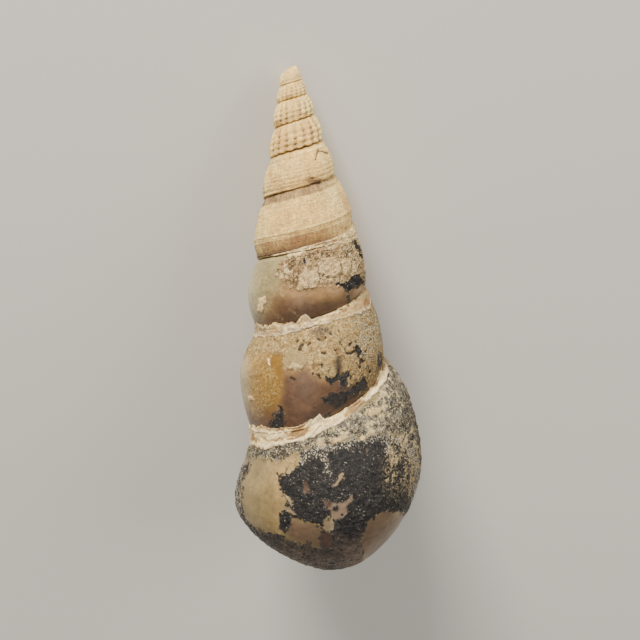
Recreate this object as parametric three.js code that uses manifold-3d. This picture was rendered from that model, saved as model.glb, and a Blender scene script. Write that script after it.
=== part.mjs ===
// Fossil turret shell, lying on its side. Millimetres, +Z up, the apex towards +Y.
//
// The shell is one grown piece: a right-handed spiral of about nine whorls. The spire keeps its
// ribbed, corded shell. Lower down the shell has broken away and left the stone cast of the
// whorls, with a ragged ledge of shell still standing in each suture. The last whorl ends in a
// broken mouth filled with stone.
//
// The outside is one closed skin, described in the shell's own frame: height is measured along
// the axis, and a turn is one trip round it. Whole turns lie on the right of the side that shows
// when the shell rests, a quarter turn on is the middle of that side, and half a turn is the left.
import * as THREE from "three";
import { mergeVertices } from "three/addons/utils/BufferGeometryUtils.js";
import Module from "manifold-3d";

// Driving sizes of the spiral, one row for each half turn and for each quarter turn where the
// whorls stray: turn, height and radius of the suture above the whorl, largest radius of the
// whorl, the height where it is that wide, and the power of its upper curve, which is small
// where the shoulder is full and large where it is hollow.
const SPIRAL = [
  [1.0, 20.75, 0.52, 0.8, 19.95, 1],
  [1.5, 20.2, 0.68, 0.92, 19.4, 1],
  [2.0, 19.7, 0.82, 1.15, 18.75, 1],
  [2.5, 19.2, 0.85, 1.25, 18.0, 1],
  [3.0, 18.6, 1.1, 1.6, 17.25, 1],
  [3.5, 17.9, 1.12, 1.65, 16.25, 1],
  [4.0, 17.0, 1.52, 2.12, 15.2, 1],
  [4.5, 15.97, 1.5, 2.15, 13.95, 1],
  [5.0, 14.95, 2.05, 2.88, 12.4, 1],
  [5.5, 13.65, 2.05, 3.0, 10.9, 1],
  [6.0, 12.15, 2.8, 4.05, 8.35, 1],
  [6.5, 10.4, 2.92, 4.1, 6.5, 1],
  [7.0, 7.65, 3.95, 4.78, 3.7, 0.65],
  [7.25, 6.65, 3.97, 4.9, 3.0, 0.75],
  [7.5, 5.55, 3.9, 5.02, 2.2, 1],
  [8.0, 2.45, 4.46, 5.82, -3.1, 0.65],
  [8.25, 0.85, 4.5, 6.1, -3.7, 0.75],
  [8.5, -0.55, 4.5, 6.33, -4.6, 1],
  [8.75, -2.2, 5.0, 7.3, -8.0, 0.7],
  [9.0, -4.05, 5.5, 8.4, -11.97, 0.5],
  [9.25, -7.3, 5.65, 8.18, -13.05, 0.8],
  [9.5, -8.95, 5.8, 7.65, -15.12, 2],
  [9.75, -10.9, 6.3, 7.5, -15.6, 1.2],
];
const APEX = [0.2, 20.9]; // the worn tip, a little to the right of the axis
const MOUTH_TURN = 9.75; // where the last whorl is broken off
const LAST_TURN = MOUTH_TURN - 1; // from here on no whorl lies below

// The last whorl's base: turn, height where the side gives way to the base, height where the base
// meets the pillar, and the power of its round curve, which is 2 for an ellipse.
const BASE = [
  [8.75, -10.9, -17.2, 1.37],
  [9.0, -15.6, -20.86, 1.65],
  [9.25, -16.8, -21.34, 2],
  [9.5, -17.2, -19.63, 1.9],
  [9.75, -18.0, -20.2, 1.9],
];
const PILLAR_RADIUS = 0.9; // of the pillar the whorls wind round, where the base meets it
const PILLAR_END = -20.6; // height of the pillar's lower end

const CAST_FROM = 7.0; // the shell is gone below the suture of this turn
const RIBS = 20; // ribs in one turn of the upper whorls
const RIBS_FADE = [1.6, 2.4, 4.3, 5.2]; // turns where the ribs begin, are full, weaken and end
const RIB_HEIGHT = 0.07;
const CORD_HEIGHT = 0.05;
const GROOVE_DEPTH = 0.45; // of the suture between two cast whorls
const LEDGE_RISE = 0.3; // how far the broken shell ledge stands up out of the suture
const LEDGE_PROUD = 0.16; // and out from it
const LEDGE_TURNS = [7.05, 7.3, 9.45, 9.7]; // turns where the ledge begins, is full, weakens, ends

// Broken shell plates that stand on the ledge: turn, width, height, lean of the point along the
// ledge, and how far out they stand.
const PLATES = [
  [8.264, 1.2, 0.95, 0.2, 0.3],
  [9.265, 2.1, 1.0, 0.75, 0.4],
  [9.11, 2.4, 0.6, 0.8, 0.2],
];
const PLATE_THICKNESS = 0.3;
const PLATE_ROOT = 0.9; // how deep a plate is rooted in the ledge

// How the shell rests: with its apex dipped, and worn flat where it touches.
const REST_DIP = THREE.MathUtils.degToRad(12.1);
const WORN_FLAT = 0.12;

const STEPS = 60; // rows of the skin in one turn
const COLUMNS = [0, 0.05, 0.17, 0.3, 0.45, 0.6, 0.75, 0.9, 1]; // places across a whorl
const BASE_COLUMNS = 5;

const TAU = 2 * Math.PI;
const clamp01 = (x) => Math.min(1, Math.max(0, x));
const smooth = (x) => clamp01(x) ** 2 * (3 - 2 * clamp01(x));

// 0 before a, rising to 1 at b, and falling from 1 at c to 0 at d.
const between = ([a, b, c, d], x) => smooth((x - a) / (b - a)) * smooth((d - x) / (d - c));

// A smooth curve through one column of a table, read at a turn.
function reading(table, column, turn) {
  const last = table.length - 1;
  const found = table.findIndex((row) => row[0] > turn);
  const i = Math.min(last - 1, Math.max(0, (found < 0 ? table.length : found) - 1));
  const slope = (k) => {
    const [low, high] = [table[Math.max(0, k - 1)], table[Math.min(last, k + 1)]];
    return (high[column] - low[column]) / (high[0] - low[0]);
  };
  const width = table[i + 1][0] - table[i][0];
  const t = (turn - table[i][0]) / width;
  return (
    (1 + 2 * t) * (1 - t) ** 2 * table[i][column] +
    t * (1 - t) ** 2 * width * slope(i) +
    t * t * (3 - 2 * t) * table[i + 1][column] +
    t * t * (t - 1) * width * slope(i + 1)
  );
}

// How far the whorl's sculpture stands out at a turn and a place across the whorl: ribs and
// cords on the shell.
function sculpture(turn, across, column) {
  if (turn >= CAST_FROM || across === 0 || across === 1) return 0;
  const size = reading(SPIRAL, 3, turn) / 2.5;
  const rib = between(RIBS_FADE, turn) * RIB_HEIGHT * Math.cos(TAU * RIBS * turn);
  const cord = column % 2 ? CORD_HEIGHT : 0;
  return Math.min(size, 1.6) * Math.sin(Math.PI * across) * (rib + cord);
}

// A rough edge that repeats nowhere along the ledge.
const ragged = (turn) =>
  0.5 * Math.sin(TAU * 7.3 * turn) +
  0.3 * Math.sin(TAU * 17.9 * turn + 1) +
  0.2 * Math.sin(TAU * 29.1 * turn + 2);

// The point [radius, height] of the skin at a turn and a place across its whorl.
function skinPoint(turn, column) {
  const across = COLUMNS[column];
  const [topY, topR, wideR, wideY, power] = [1, 2, 3, 4, 5].map((c) => reading(SPIRAL, c, turn));
  const isLast = turn > LAST_TURN - 1e-6;
  const lowY = isLast ? reading(BASE, 1, turn) : reading(SPIRAL, 1, turn + 1);
  const lowR = isLast ? 0 : reading(SPIRAL, 2, turn + 1);
  const height = topY + (lowY - topY) * across;
  const above = (topY - height) / (topY - wideY);
  const under = (above - 1) / ((topY - lowY) / (topY - wideY) - 1);
  let radius = topR + (wideR - topR) * Math.sin((Math.PI / 2) * clamp01(above)) ** power;
  if (above > 1 && !isLast)
    radius = lowR + (wideR - lowR) * Math.cos((Math.PI / 2) * clamp01(under)) ** Math.min(1, power + 0.1);
  if (above > 1 && isLast) {
    const [endY, round] = [2, 3].map((c) => reading(BASE, c, turn));
    const fallen = clamp01((wideY - height) / (wideY - endY));
    radius = PILLAR_RADIUS + (wideR - PILLAR_RADIUS) * (1 - fallen ** round) ** (1 / round);
  }
  radius += sculpture(turn, across, column);
  const ledge = between(LEDGE_TURNS, turn);
  let rise = 0;
  if (column === 0) radius -= GROOVE_DEPTH * ledge;
  if (column === COLUMNS.length - 1 && !isLast)
    radius -= GROOVE_DEPTH * between(LEDGE_TURNS, turn + 1);
  if (column === 1) {
    radius += LEDGE_PROUD * ledge * (1 + 0.4 * ragged(turn));
    rise = LEDGE_RISE * ledge * (1 + 0.8 * ragged(turn + 0.37));
  }
  if (column === 2) radius += 0.5 * LEDGE_PROUD * ledge;
  return [radius, height + rise];
}

// The point [radius, height] of the last whorl's base, from its side (0) to the pillar (1).
function basePoint(turn, share) {
  const [wideR, wideY] = [3, 4].map((c) => reading(SPIRAL, c, turn));
  const [sideY, endY, round] = [1, 2, 3].map((c) => reading(BASE, c, turn));
  const start = Math.asin(clamp01((wideY - sideY) / (wideY - endY)) ** (round / 2));
  const angle = start + (Math.PI / 2 - start) * share;
  return [
    PILLAR_RADIUS + (wideR - PILLAR_RADIUS) * Math.max(0, Math.cos(angle)) ** (2 / round),
    wideY + (endY - wideY) * Math.sin(angle) ** (2 / round),
  ];
}

// The shell's skin as one closed triangle mesh in the shell's own frame: X to the right, Y along
// the axis to the apex, Z towards the side that shows.
function skinGeometry() {
  const firstTurn = SPIRAL[0][0];
  const rows = Math.round((MOUTH_TURN - firstTurn) * STEPS);
  const lastRow = Math.round((LAST_TURN - firstTurn) * STEPS);
  const turnOf = (row) => firstTurn + row / STEPS;
  const positions = [];
  const triangles = [];
  const add = (turn, [radius, height]) => {
    positions.push(radius * Math.cos(TAU * turn), height, radius * Math.sin(TAU * turn));
    return positions.length / 3 - 1;
  };
  const quad = (a, b, c, d) => triangles.push(a, b, c, a, c, d);

  // Each row runs across its whorl. Its last point is the first point of the row a turn later.
  const edge = COLUMNS.length - 1;
  const grid = [];
  const addSkin = (row, column) => add(turnOf(row), skinPoint(turnOf(row), column));
  for (let row = 0; row <= rows; row++)
    grid.push(COLUMNS.slice(0, edge).map((_, column) => addSkin(row, column)));
  for (let row = 0; row <= rows; row++)
    grid[row].push(row <= lastRow ? grid[row + STEPS][0] : addSkin(row, edge));
  for (let row = 0; row < rows; row++)
    for (let column = 0; column < edge; column++)
      quad(grid[row][column], grid[row + 1][column], grid[row + 1][column + 1], grid[row][column + 1]);

  // The base of the last whorl, closed round the end of the pillar.
  const pillar = add(0, [0, PILLAR_END]);
  const base = [];
  for (let row = lastRow; row <= rows; row++) {
    const line = [grid[row][edge]];
    for (let k = 1; k <= BASE_COLUMNS; k++)
      line.push(add(turnOf(row), basePoint(turnOf(row), k / BASE_COLUMNS)));
    base.push(line);
  }
  for (let row = 0; row < base.length - 1; row++) {
    for (let k = 0; k < BASE_COLUMNS; k++)
      quad(base[row][k], base[row + 1][k], base[row + 1][k + 1], base[row][k + 1]);
    triangles.push(base[row][BASE_COLUMNS], base[row + 1][BASE_COLUMNS], pillar);
  }

  // The broken mouth: a flat wall between the last row and the whorl a turn before it.
  const outer = [...base.at(-1).slice(1).reverse(), ...grid[rows].slice(1).reverse()];
  const outline = [...base[0], pillar, ...outer];
  const flat = outline.map((i) => {
    const [x, y, z] = positions.slice(3 * i, 3 * i + 3);
    return new THREE.Vector2(Math.hypot(x, z), y);
  });
  for (const [a, b, c] of THREE.ShapeUtils.triangulateShape(flat, [])) {
    const [ab, ac] = [flat[b].clone().sub(flat[a]), flat[c].clone().sub(flat[a])];
    if (ab.cross(ac) > 0) triangles.push(outline[a], outline[b], outline[c]);
    else triangles.push(outline[a], outline[c], outline[b]);
  }

  // The worn tip, a fan over the first turn.
  const tip = add(0, APEX);
  const firstTrip = grid.slice(1, STEPS + 1).map((line) => line[0]);
  const rim = [...grid[0].slice(0, edge).reverse(), ...firstTrip];
  rim.forEach((point, i) => triangles.push(tip, rim[(i + 1) % rim.length], point));

  return new THREE.BufferGeometry()
    .setAttribute("position", new THREE.Float32BufferAttribute(positions, 3))
    .setIndex(triangles);
}

// A broken plate of shell that stands in the suture, rooted in the ledge below it.
function plateGeometry([turn, width, height, lean, proud]) {
  const outline = new THREE.Shape([
    new THREE.Vector2(-width / 2, -PLATE_ROOT),
    new THREE.Vector2(width / 2, -PLATE_ROOT),
    new THREE.Vector2(width / 2, 0.1 * height),
    new THREE.Vector2(lean * width * 0.5, height),
    new THREE.Vector2(-width / 2, 0.2 * height),
  ]);
  const plate = new THREE.ExtrudeGeometry(outline, { depth: PLATE_THICKNESS, bevelEnabled: false });
  const angle = TAU * turn;
  const radius = reading(SPIRAL, 2, turn) + proud - PLATE_THICKNESS;
  const climb = reading(SPIRAL, 1, turn + 0.02) - reading(SPIRAL, 1, turn - 0.02);
  const slope = Math.atan2(climb, 0.04 * TAU * radius);
  plate.rotateZ(-slope);
  plate.rotateY(Math.PI / 2 - angle);
  plate.translate(radius * Math.cos(angle), reading(SPIRAL, 1, turn), radius * Math.sin(angle));
  return plate;
}

const wasm = await Module();
wasm.setup();

// A closed mesh as a manifold-3d solid.
function solidOf(geometry) {
  const bare = geometry.clone();
  bare.deleteAttribute("normal");
  bare.deleteAttribute("uv");
  const merged = mergeVertices(bare, 1e-4);
  return new wasm.Manifold(
    new wasm.Mesh({
      numProp: 3,
      vertProperties: merged.attributes.position.array,
      triVerts: new Uint32Array(merged.index.array),
    }),
  );
}

// A manifold-3d solid as a three.js geometry with flat faces.
function geometryOf(solid) {
  const { numProp, vertProperties, triVerts } = solid.getMesh();
  const positions = [];
  for (let i = 0; i < vertProperties.length; i += numProp)
    positions.push(...vertProperties.subarray(i, i + 3));
  const geometry = new THREE.BufferGeometry()
    .setAttribute("position", new THREE.Float32BufferAttribute(positions, 3))
    .setIndex([...triVerts])
    .toNonIndexed();
  geometry.computeVertexNormals();
  return geometry;
}

// The whole shell in its own frame: the skin with its plates fused on.
function shellSolid() {
  const plates = PLATES.map((plate) => solidOf(plateGeometry(plate)));
  return plates.reduce((solid, plate) => solid.add(plate), solidOf(skinGeometry()));
}

// The shell laid down on the plane Z = 0, worn flat where it touches, and centred over the origin.
function layDown(solid) {
  const geometry = geometryOf(solid);
  geometry.rotateX(-REST_DIP);
  geometry.computeBoundingBox();
  const { min, max } = geometry.boundingBox;
  geometry.translate(-(min.x + max.x) / 2, -(min.y + max.y) / 2, -min.z - WORN_FLAT);
  if (!WORN_FLAT) return geometry;
  const above = new THREE.BoxGeometry(100, 100, 50).translate(0, 0, 25);
  return geometryOf(solidOf(geometry).intersect(solidOf(above)));
}

const stone = new THREE.MeshStandardMaterial({ color: 0xb59a74, roughness: 0.6, metalness: 0, name: "fossil" });
const shell = new THREE.Mesh(layDown(shellSolid()), stone);
shell.name = "turret_shell";

const part = new THREE.Group();
part.add(shell);
export default part;
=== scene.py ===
"""Looks of the fossil turret shell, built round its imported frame.

The whorls are remade as fine meshes on the same spiral as the solid. Their relief and their
patches of crust, agate and shell are worked out for each vertex, and the materials read them as
attributes. Lengths here are millimetres in the shell's own frame until place() turns them into
metres in the frame of the part. Patches are drawn in columns (u) and rows (v) of the photograph.
"""

import itertools
import math

import bpy
import numpy as np
from mathutils import Matrix, Vector


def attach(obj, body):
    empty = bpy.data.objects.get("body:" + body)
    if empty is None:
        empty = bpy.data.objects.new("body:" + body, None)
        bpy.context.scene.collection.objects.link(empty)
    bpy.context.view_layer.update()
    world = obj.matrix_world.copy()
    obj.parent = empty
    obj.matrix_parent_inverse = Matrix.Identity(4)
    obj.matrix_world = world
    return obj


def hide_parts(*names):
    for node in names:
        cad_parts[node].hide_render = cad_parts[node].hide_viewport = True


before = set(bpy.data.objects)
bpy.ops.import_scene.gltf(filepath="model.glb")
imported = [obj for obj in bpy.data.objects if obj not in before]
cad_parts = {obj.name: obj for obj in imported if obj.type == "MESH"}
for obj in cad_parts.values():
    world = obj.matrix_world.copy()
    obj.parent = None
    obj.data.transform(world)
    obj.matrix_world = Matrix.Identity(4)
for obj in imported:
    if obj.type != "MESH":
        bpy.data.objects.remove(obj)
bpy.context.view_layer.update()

# The spiral
SPIRAL = [  # turn, suture height and radius, widest radius and its height, power of the shoulder
    (1.0, 20.75, 0.52, 0.8, 19.95, 1),
    (1.5, 20.2, 0.68, 0.92, 19.4, 1),
    (2.0, 19.7, 0.82, 1.15, 18.75, 1),
    (2.5, 19.2, 0.85, 1.25, 18.0, 1),
    (3.0, 18.6, 1.1, 1.6, 17.25, 1),
    (3.5, 17.9, 1.12, 1.65, 16.25, 1),
    (4.0, 17.0, 1.52, 2.12, 15.2, 1),
    (4.5, 15.97, 1.5, 2.15, 13.95, 1),
    (5.0, 14.95, 2.05, 2.88, 12.4, 1),
    (5.5, 13.65, 2.05, 3.0, 10.9, 1),
    (6.0, 12.15, 2.8, 4.05, 8.35, 1),
    (6.5, 10.4, 2.92, 4.1, 6.5, 1),
    (7.0, 7.65, 3.95, 4.78, 3.7, 0.65),
    (7.25, 6.65, 3.97, 4.9, 3.0, 0.75),
    (7.5, 5.55, 3.9, 5.02, 2.2, 1),
    (8.0, 2.45, 4.46, 5.82, -3.1, 0.65),
    (8.25, 0.85, 4.5, 6.1, -3.7, 0.75),
    (8.5, -0.55, 4.5, 6.33, -4.6, 1),
    (8.75, -2.2, 5.0, 7.3, -8.0, 0.7),
    (9.0, -4.05, 5.5, 8.4, -11.97, 0.5),
    (9.25, -7.3, 5.65, 8.18, -13.05, 0.8),
    (9.5, -8.95, 5.8, 7.65, -15.12, 2),
    (9.75, -10.9, 6.3, 7.5, -15.6, 1.2),
]
BASE = [  # turn, height where the base begins, height at the pillar, power of its round curve
    (8.75, -10.9, -17.2, 1.37),
    (9.0, -15.6, -20.86, 1.65),
    (9.25, -16.8, -21.34, 2),
    (9.5, -17.2, -19.63, 1.9),
    (9.75, -18.0, -20.2, 1.9),
]
SUTURE, SUTURE_RADIUS, WIDEST, WIDEST_HEIGHT, SHOULDER_POWER = range(1, 6)  # the spiral's columns
BASE_TOP, BASE_FOOT, BASE_BULGE = range(1, 4)  # the base's columns
APEX = (0.2, 20.9)
PILLAR_RADIUS = 0.9
MOUTH_TURN = 9.75
LAST_TURN = MOUTH_TURN - 1
REST_DIP = math.radians(12.1)
TAU = 2 * math.pi


def reading(table, column, turn):
    """A smooth curve through one column of a table, read at an array of turns."""
    t = np.array([row[0] for row in table], float)
    v = np.array([row[column] for row in table], float)
    turn = np.asarray(turn, float)
    i = np.clip(np.searchsorted(t, turn, side="right") - 1, 0, len(t) - 2)
    low = np.clip(np.arange(len(t)) - 1, 0, None)
    high = np.clip(np.arange(len(t)) + 1, None, len(t) - 1)
    slope = (v[high] - v[low]) / (t[high] - t[low])
    width = t[i + 1] - t[i]
    u = (turn - t[i]) / width
    return (
        (1 + 2 * u) * (1 - u) ** 2 * v[i]
        + u * (1 - u) ** 2 * width * slope[i]
        + u * u * (3 - 2 * u) * v[i + 1]
        + u * u * (u - 1) * width * slope[i + 1]
    )


def side(turn, across):
    """Radius and height of the skin, across a whorl from its upper suture (0) to its lower (1)."""
    columns = SUTURE, SUTURE_RADIUS, WIDEST, WIDEST_HEIGHT, SHOULDER_POWER
    top_y, top_r, wide_r, wide_y, power = [reading(SPIRAL, c, turn) for c in columns]
    last = turn > LAST_TURN - 1e-6
    late = np.maximum(turn, LAST_TURN)
    below = np.minimum(turn + 1, MOUTH_TURN)
    low_y = np.where(last, reading(BASE, BASE_TOP, late), reading(SPIRAL, SUTURE, below))
    low_r = reading(SPIRAL, SUTURE_RADIUS, below)
    y = top_y + (low_y - top_y) * across
    above = (top_y - y) / (top_y - wide_y)
    under = np.clip((above - 1) / ((top_y - low_y) / (top_y - wide_y) - 1), 0, 1)
    upper = top_r + (wide_r - top_r) * np.sin(np.pi / 2 * np.clip(above, 0, 1)) ** power
    lower = low_r + (wide_r - low_r) * np.cos(np.pi / 2 * under) ** np.minimum(1, power + 0.1)
    end_y, bulge = reading(BASE, BASE_FOOT, late), reading(BASE, BASE_BULGE, late)
    fallen = np.clip((wide_y - y) / (wide_y - end_y), 0, 1)
    last_lower = PILLAR_RADIUS + (wide_r - PILLAR_RADIUS) * (1 - fallen**bulge) ** (1 / bulge)
    return np.where(above < 1, upper, np.where(last, last_lower, lower)), y


def base(turn, share):
    """Radius and height of the last whorl's base, from its side (0) to the pillar (1)."""
    wide_r, wide_y = reading(SPIRAL, WIDEST, turn), reading(SPIRAL, WIDEST_HEIGHT, turn)
    side_y, end_y, bulge = [reading(BASE, c, turn) for c in (BASE_TOP, BASE_FOOT, BASE_BULGE)]
    start = np.arcsin(np.clip((wide_y - side_y) / (wide_y - end_y), 0, 1) ** (bulge / 2))
    angle = start + (np.pi / 2 - start) * share
    radius = PILLAR_RADIUS + (wide_r - PILLAR_RADIUS) * np.maximum(0, np.cos(angle)) ** (2 / bulge)
    return radius, wide_y + (end_y - wide_y) * np.sin(angle) ** (2 / bulge)


def round_axis(turn, radius, height):
    """Points in the shell's own frame, whose axis is y; a whole turn points right."""
    angle = TAU * turn
    return np.stack([radius * np.cos(angle), height + 0 * radius, radius * np.sin(angle)], -1)


# Placing
def dip_matrix():
    """The turn that lays the shell down, its tip lower than its wide end."""
    c, s = math.cos(REST_DIP), math.sin(REST_DIP)
    return np.array([[1, 0, 0], [0, c, s], [0, -s, c]])


cad_points = np.array([v.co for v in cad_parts["turret_shell"].data.vertices]) * 1000
cad_tip = cad_points[np.argmax(cad_points[:, 1])]
SHIFT = cad_tip - dip_matrix() @ np.array([APEX[0], APEX[1], 0])


def place(points):
    """Points of the shell's own frame as laid down, in metres, worn flat on the floor."""
    laid = points @ dip_matrix().T + SHIFT
    laid[..., 2] = np.maximum(laid[..., 2], 0)
    return laid / 1000


# The photograph's view
LEAN = math.atan(40 / 503)  # of the shell's axis: columns sideways over rows down
RISE = math.radians(12)  # of the camera over the plane square to the axis
PIXELS = 12.0  # to the millimetre at the axis
PICTURE_WIDTH = 640
MIDDLE = 320
SENSOR = 36  # millimetres
AXIS_U = 310.7  # where the axis crosses the picture's middle row
VIEW_DISTANCE = 1100 / PIXELS  # of the camera from the shell, in millimetres


def to_picture(points):
    """Column and row, in the picture, where the camera sees points of the shell's frame."""
    c, s = math.cos(LEAN), math.sin(LEAN)
    x = points[..., 0] * c - points[..., 1] * s
    y = points[..., 0] * s + points[..., 1] * c
    z = points[..., 2]
    y, z = y * math.cos(RISE) - z * math.sin(RISE), y * math.sin(RISE) + z * math.cos(RISE)
    k = VIEW_DISTANCE / (VIEW_DISTANCE - z)
    return MIDDLE + k * (PIXELS * x + AXIS_U - MIDDLE), MIDDLE - k * PIXELS * y


def spread_out(turn, radius, height):
    """to_picture, carried on round the sides along the surface, and how far round that is."""
    u, v = to_picture(round_axis(turn, radius, height))
    angle = TAU * np.mod(turn, 1)
    left = to_picture(np.stack([-radius, height, 0 * radius], -1))[0]
    right = to_picture(np.stack([radius, height, 0 * radius], -1))[0]
    past_left = PIXELS * radius * (angle - math.pi)
    past_right = PIXELS * radius * (TAU - angle)
    behind_left = (angle > math.pi) & (angle <= 1.5 * math.pi)
    behind_right = angle > 1.5 * math.pi
    u = np.where(behind_left, left - past_left, np.where(behind_right, right + past_right, u))
    past = np.where(behind_left, past_left, np.where(behind_right, past_right, 0))
    return u, v, past


# Noise
def hashed(ix, iy, iz, seed):
    """A repeatable number from 0 to 1 for each cell of a grid, scattered by large odd factors."""
    h = (ix * 374761393 + iy * 668265263 + iz * 2147483647 + seed * 974634777) & 0xFFFFFFFF
    h = ((h ^ (h >> 13)) * 1274126177) & 0xFFFFFFFF
    h = ((h ^ (h >> 16)) * 2246822519) & 0xFFFFFFFF
    return ((h ^ (h >> 15)) & 0xFFFFFF) / 0xFFFFFF


def noise(points, scale, seed=0):
    """Smooth noise from -1 to 1 with lumps about 1 / scale millimetres across."""
    p = points * scale
    cell = np.floor(p).astype(np.int64)
    f = p - cell
    f = f * f * f * (f * (f * 6 - 15) + 10)
    total = 0
    for corner in itertools.product((0, 1), repeat=3):
        weight = math.prod(f[..., k] if corner[k] else 1 - f[..., k] for k in range(3))
        total = total + weight * hashed(*np.moveaxis(cell + corner, -1, 0), seed)
    return total * 2 - 1


def noises(points, *parts):
    """Noises added up: each part is an amount, a scale and a seed."""
    return sum(amount * noise(points, scale, seed) for amount, scale, seed in parts)


def layered(points, scale, octaves, seed=0):
    """Noise with finer and fainter noise laid on it."""
    return noises(points, *[(0.5**k, scale * 2.03**k, seed + 17 * k) for k in range(octaves)])


def cells(points, scale, seed=0):
    """Distances to the nearest two of scattered points, in cell widths, and a number of the nearest."""
    p = points * scale
    cell = np.floor(p).astype(np.int64)
    first = np.full(p.shape[:-1], 9.0)
    second = first.copy()
    number = np.zeros(p.shape[:-1])
    for offset in itertools.product((-1, 0, 1), repeat=3):
        neighbour = cell + offset
        key = np.moveaxis(neighbour, -1, 0)
        centre = neighbour + np.stack([hashed(*key, seed + k) for k in (1, 2, 3)], -1)
        d = np.sqrt(((p - centre) ** 2).sum(-1))
        second = np.where(d < first, first, np.minimum(second, d))
        number = np.where(d < first, hashed(*key, seed + 4), number)
        first = np.minimum(first, d)
    return first, second, number


def soft(x, low, high):
    """A smooth step from 0 at a low value to 1 at a high one."""
    t = np.clip((x - low) / (high - low), 0, 1)
    return t * t * (3 - 2 * t)


def hump(x, width):
    """A smooth hump, 1 high at 0."""
    return np.exp(-((x / width) ** 2))


# Patches
REACH = 12.0  # pixels over which a patch's distance is kept


def to_segment(x, y, start, end):
    """Columns and rows from the nearest place on a straight segment to some points."""
    (x0, y0), (x1, y1) = start, end
    along = (x - x0) * (x1 - x0) + (y - y0) * (y1 - y0)
    t = np.clip(along / ((x1 - x0) ** 2 + (y1 - y0) ** 2), 0, 1)
    return x - x0 - t * (x1 - x0), y - y0 - t * (y1 - y0)


def area(outline, u, v):
    """Distance in pixels inside (+) or outside (-) an outline drawn on the picture."""
    outline = np.array(outline, float)
    low, high = outline.min(0) - REACH, outline.max(0) + REACH
    near = (u > low[0]) & (u < high[0]) & (v > low[1]) & (v < high[1])
    result = np.full(u.shape, -REACH)
    x, y = u[near], v[near]
    inside = np.zeros(x.shape, bool)
    nearest = np.full(x.shape, REACH**2)
    for (x0, y0), (x1, y1) in zip(outline, np.roll(outline, -1, 0)):
        across, down = to_segment(x, y, (x0, y0), (x1, y1))
        nearest = np.minimum(nearest, across**2 + down**2)
        crosses = (y0 > y) != (y1 > y)
        if y0 != y1:
            inside ^= crosses & (x < x0 + (y - y0) * (x1 - x0) / (y1 - y0))
    distance = np.sqrt(nearest)
    result[near] = np.where(inside, distance, -distance)
    return result


def stroke(line, width, u, v):
    """Distance in pixels inside (+) or outside (-) a line drawn with a width."""
    result = np.full(u.shape, -REACH)
    for (x0, y0), (x1, y1) in zip(line, line[1:]):
        near = np.abs(u - (x0 + x1) / 2) < REACH + abs(x1 - x0)
        near &= np.abs(v - (y0 + y1) / 2) < REACH + abs(y1 - y0)
        across, down = to_segment(u[near], v[near], (x0, y0), (x1, y1))
        result[near] = np.maximum(result[near], width / 2 - np.hypot(across, down))
    return result


def oval(u0, v0, ru, rv, u, v):
    """The same for an upright oval."""
    return (1 - np.hypot((u - u0) / ru, (v - v0) / rv)) * min(ru, rv)


def widest(outlines, u, v):
    """The greatest distance inside any of several outlines."""
    return np.max([area(outline, u, v) for outline in outlines], 0)


def strokes(lines, u, v):
    """The greatest distance inside any of several lines, each with its width."""
    return np.max([stroke(line, width, u, v) for line, width in lines], 0)


def spots(places, u, v):
    """The greatest distance inside any of several round spots: column, row and radius."""
    return np.max([oval(u0, v0, size, size, u, v) for u0, v0, size in places], 0)


def colour(r, g, b):
    """A linear colour from a screen colour of 0 to 255."""
    c = np.array([r, g, b]) / 255
    return np.where(c <= 0.04045, c / 12.92, ((c + 0.055) / 1.055) ** 2.4)


def painted(ground, layers):
    """Colours of soft patches laid over a ground colour: each layer is a colour and a share."""
    result = np.broadcast_to(ground, layers[0][1].shape + (3,)).copy()
    for paint, share in layers:
        result += (paint - result) * np.clip(share, 0, 1)[..., None]
    return result


# Meshes
MOUTH_FACING = np.array([1.0, 0, 0])
MOUTH_ROUGHNESS = 0.35
SHOWING = -0.15  # sine of the turn's angle, over which a side shows in the photograph


def make_mesh(name, points, quads, triangles, attributes, uv):
    """An object of quads and triangles, with values and colours kept for each vertex."""
    mesh = bpy.data.meshes.new(name)
    mesh.vertices.add(len(points))
    mesh.vertices.foreach_set("co", place(points).ravel())
    corners = np.concatenate([quads.ravel(), triangles.ravel()])
    mesh.loops.add(len(corners))
    mesh.loops.foreach_set("vertex_index", corners)
    starts = [np.arange(len(quads)) * 4, len(quads) * 4 + np.arange(len(triangles)) * 3]
    mesh.polygons.add(len(quads) + len(triangles))
    mesh.polygons.foreach_set("loop_start", np.concatenate(starts))
    mesh.update(calc_edges=True)
    mesh.shade_smooth()
    for key, values in attributes.items():
        if values.ndim == 1:
            layer = mesh.attributes.new(key, "FLOAT", "POINT")
            layer.data.foreach_set("value", values.astype(np.float32))
        else:
            layer = mesh.attributes.new(key, "FLOAT_COLOR", "POINT")
            rgba = np.concatenate([values, np.ones((len(values), 1))], 1)
            layer.data.foreach_set("color", rgba.astype(np.float32).ravel())
    growth = mesh.uv_layers.new(name="growth")
    growth.data.foreach_set("uv", uv[corners].astype(np.float32).ravel())
    mesh.validate()
    piece = bpy.data.objects.new(name, mesh)
    bpy.context.scene.collection.objects.link(piece)
    return piece


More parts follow.
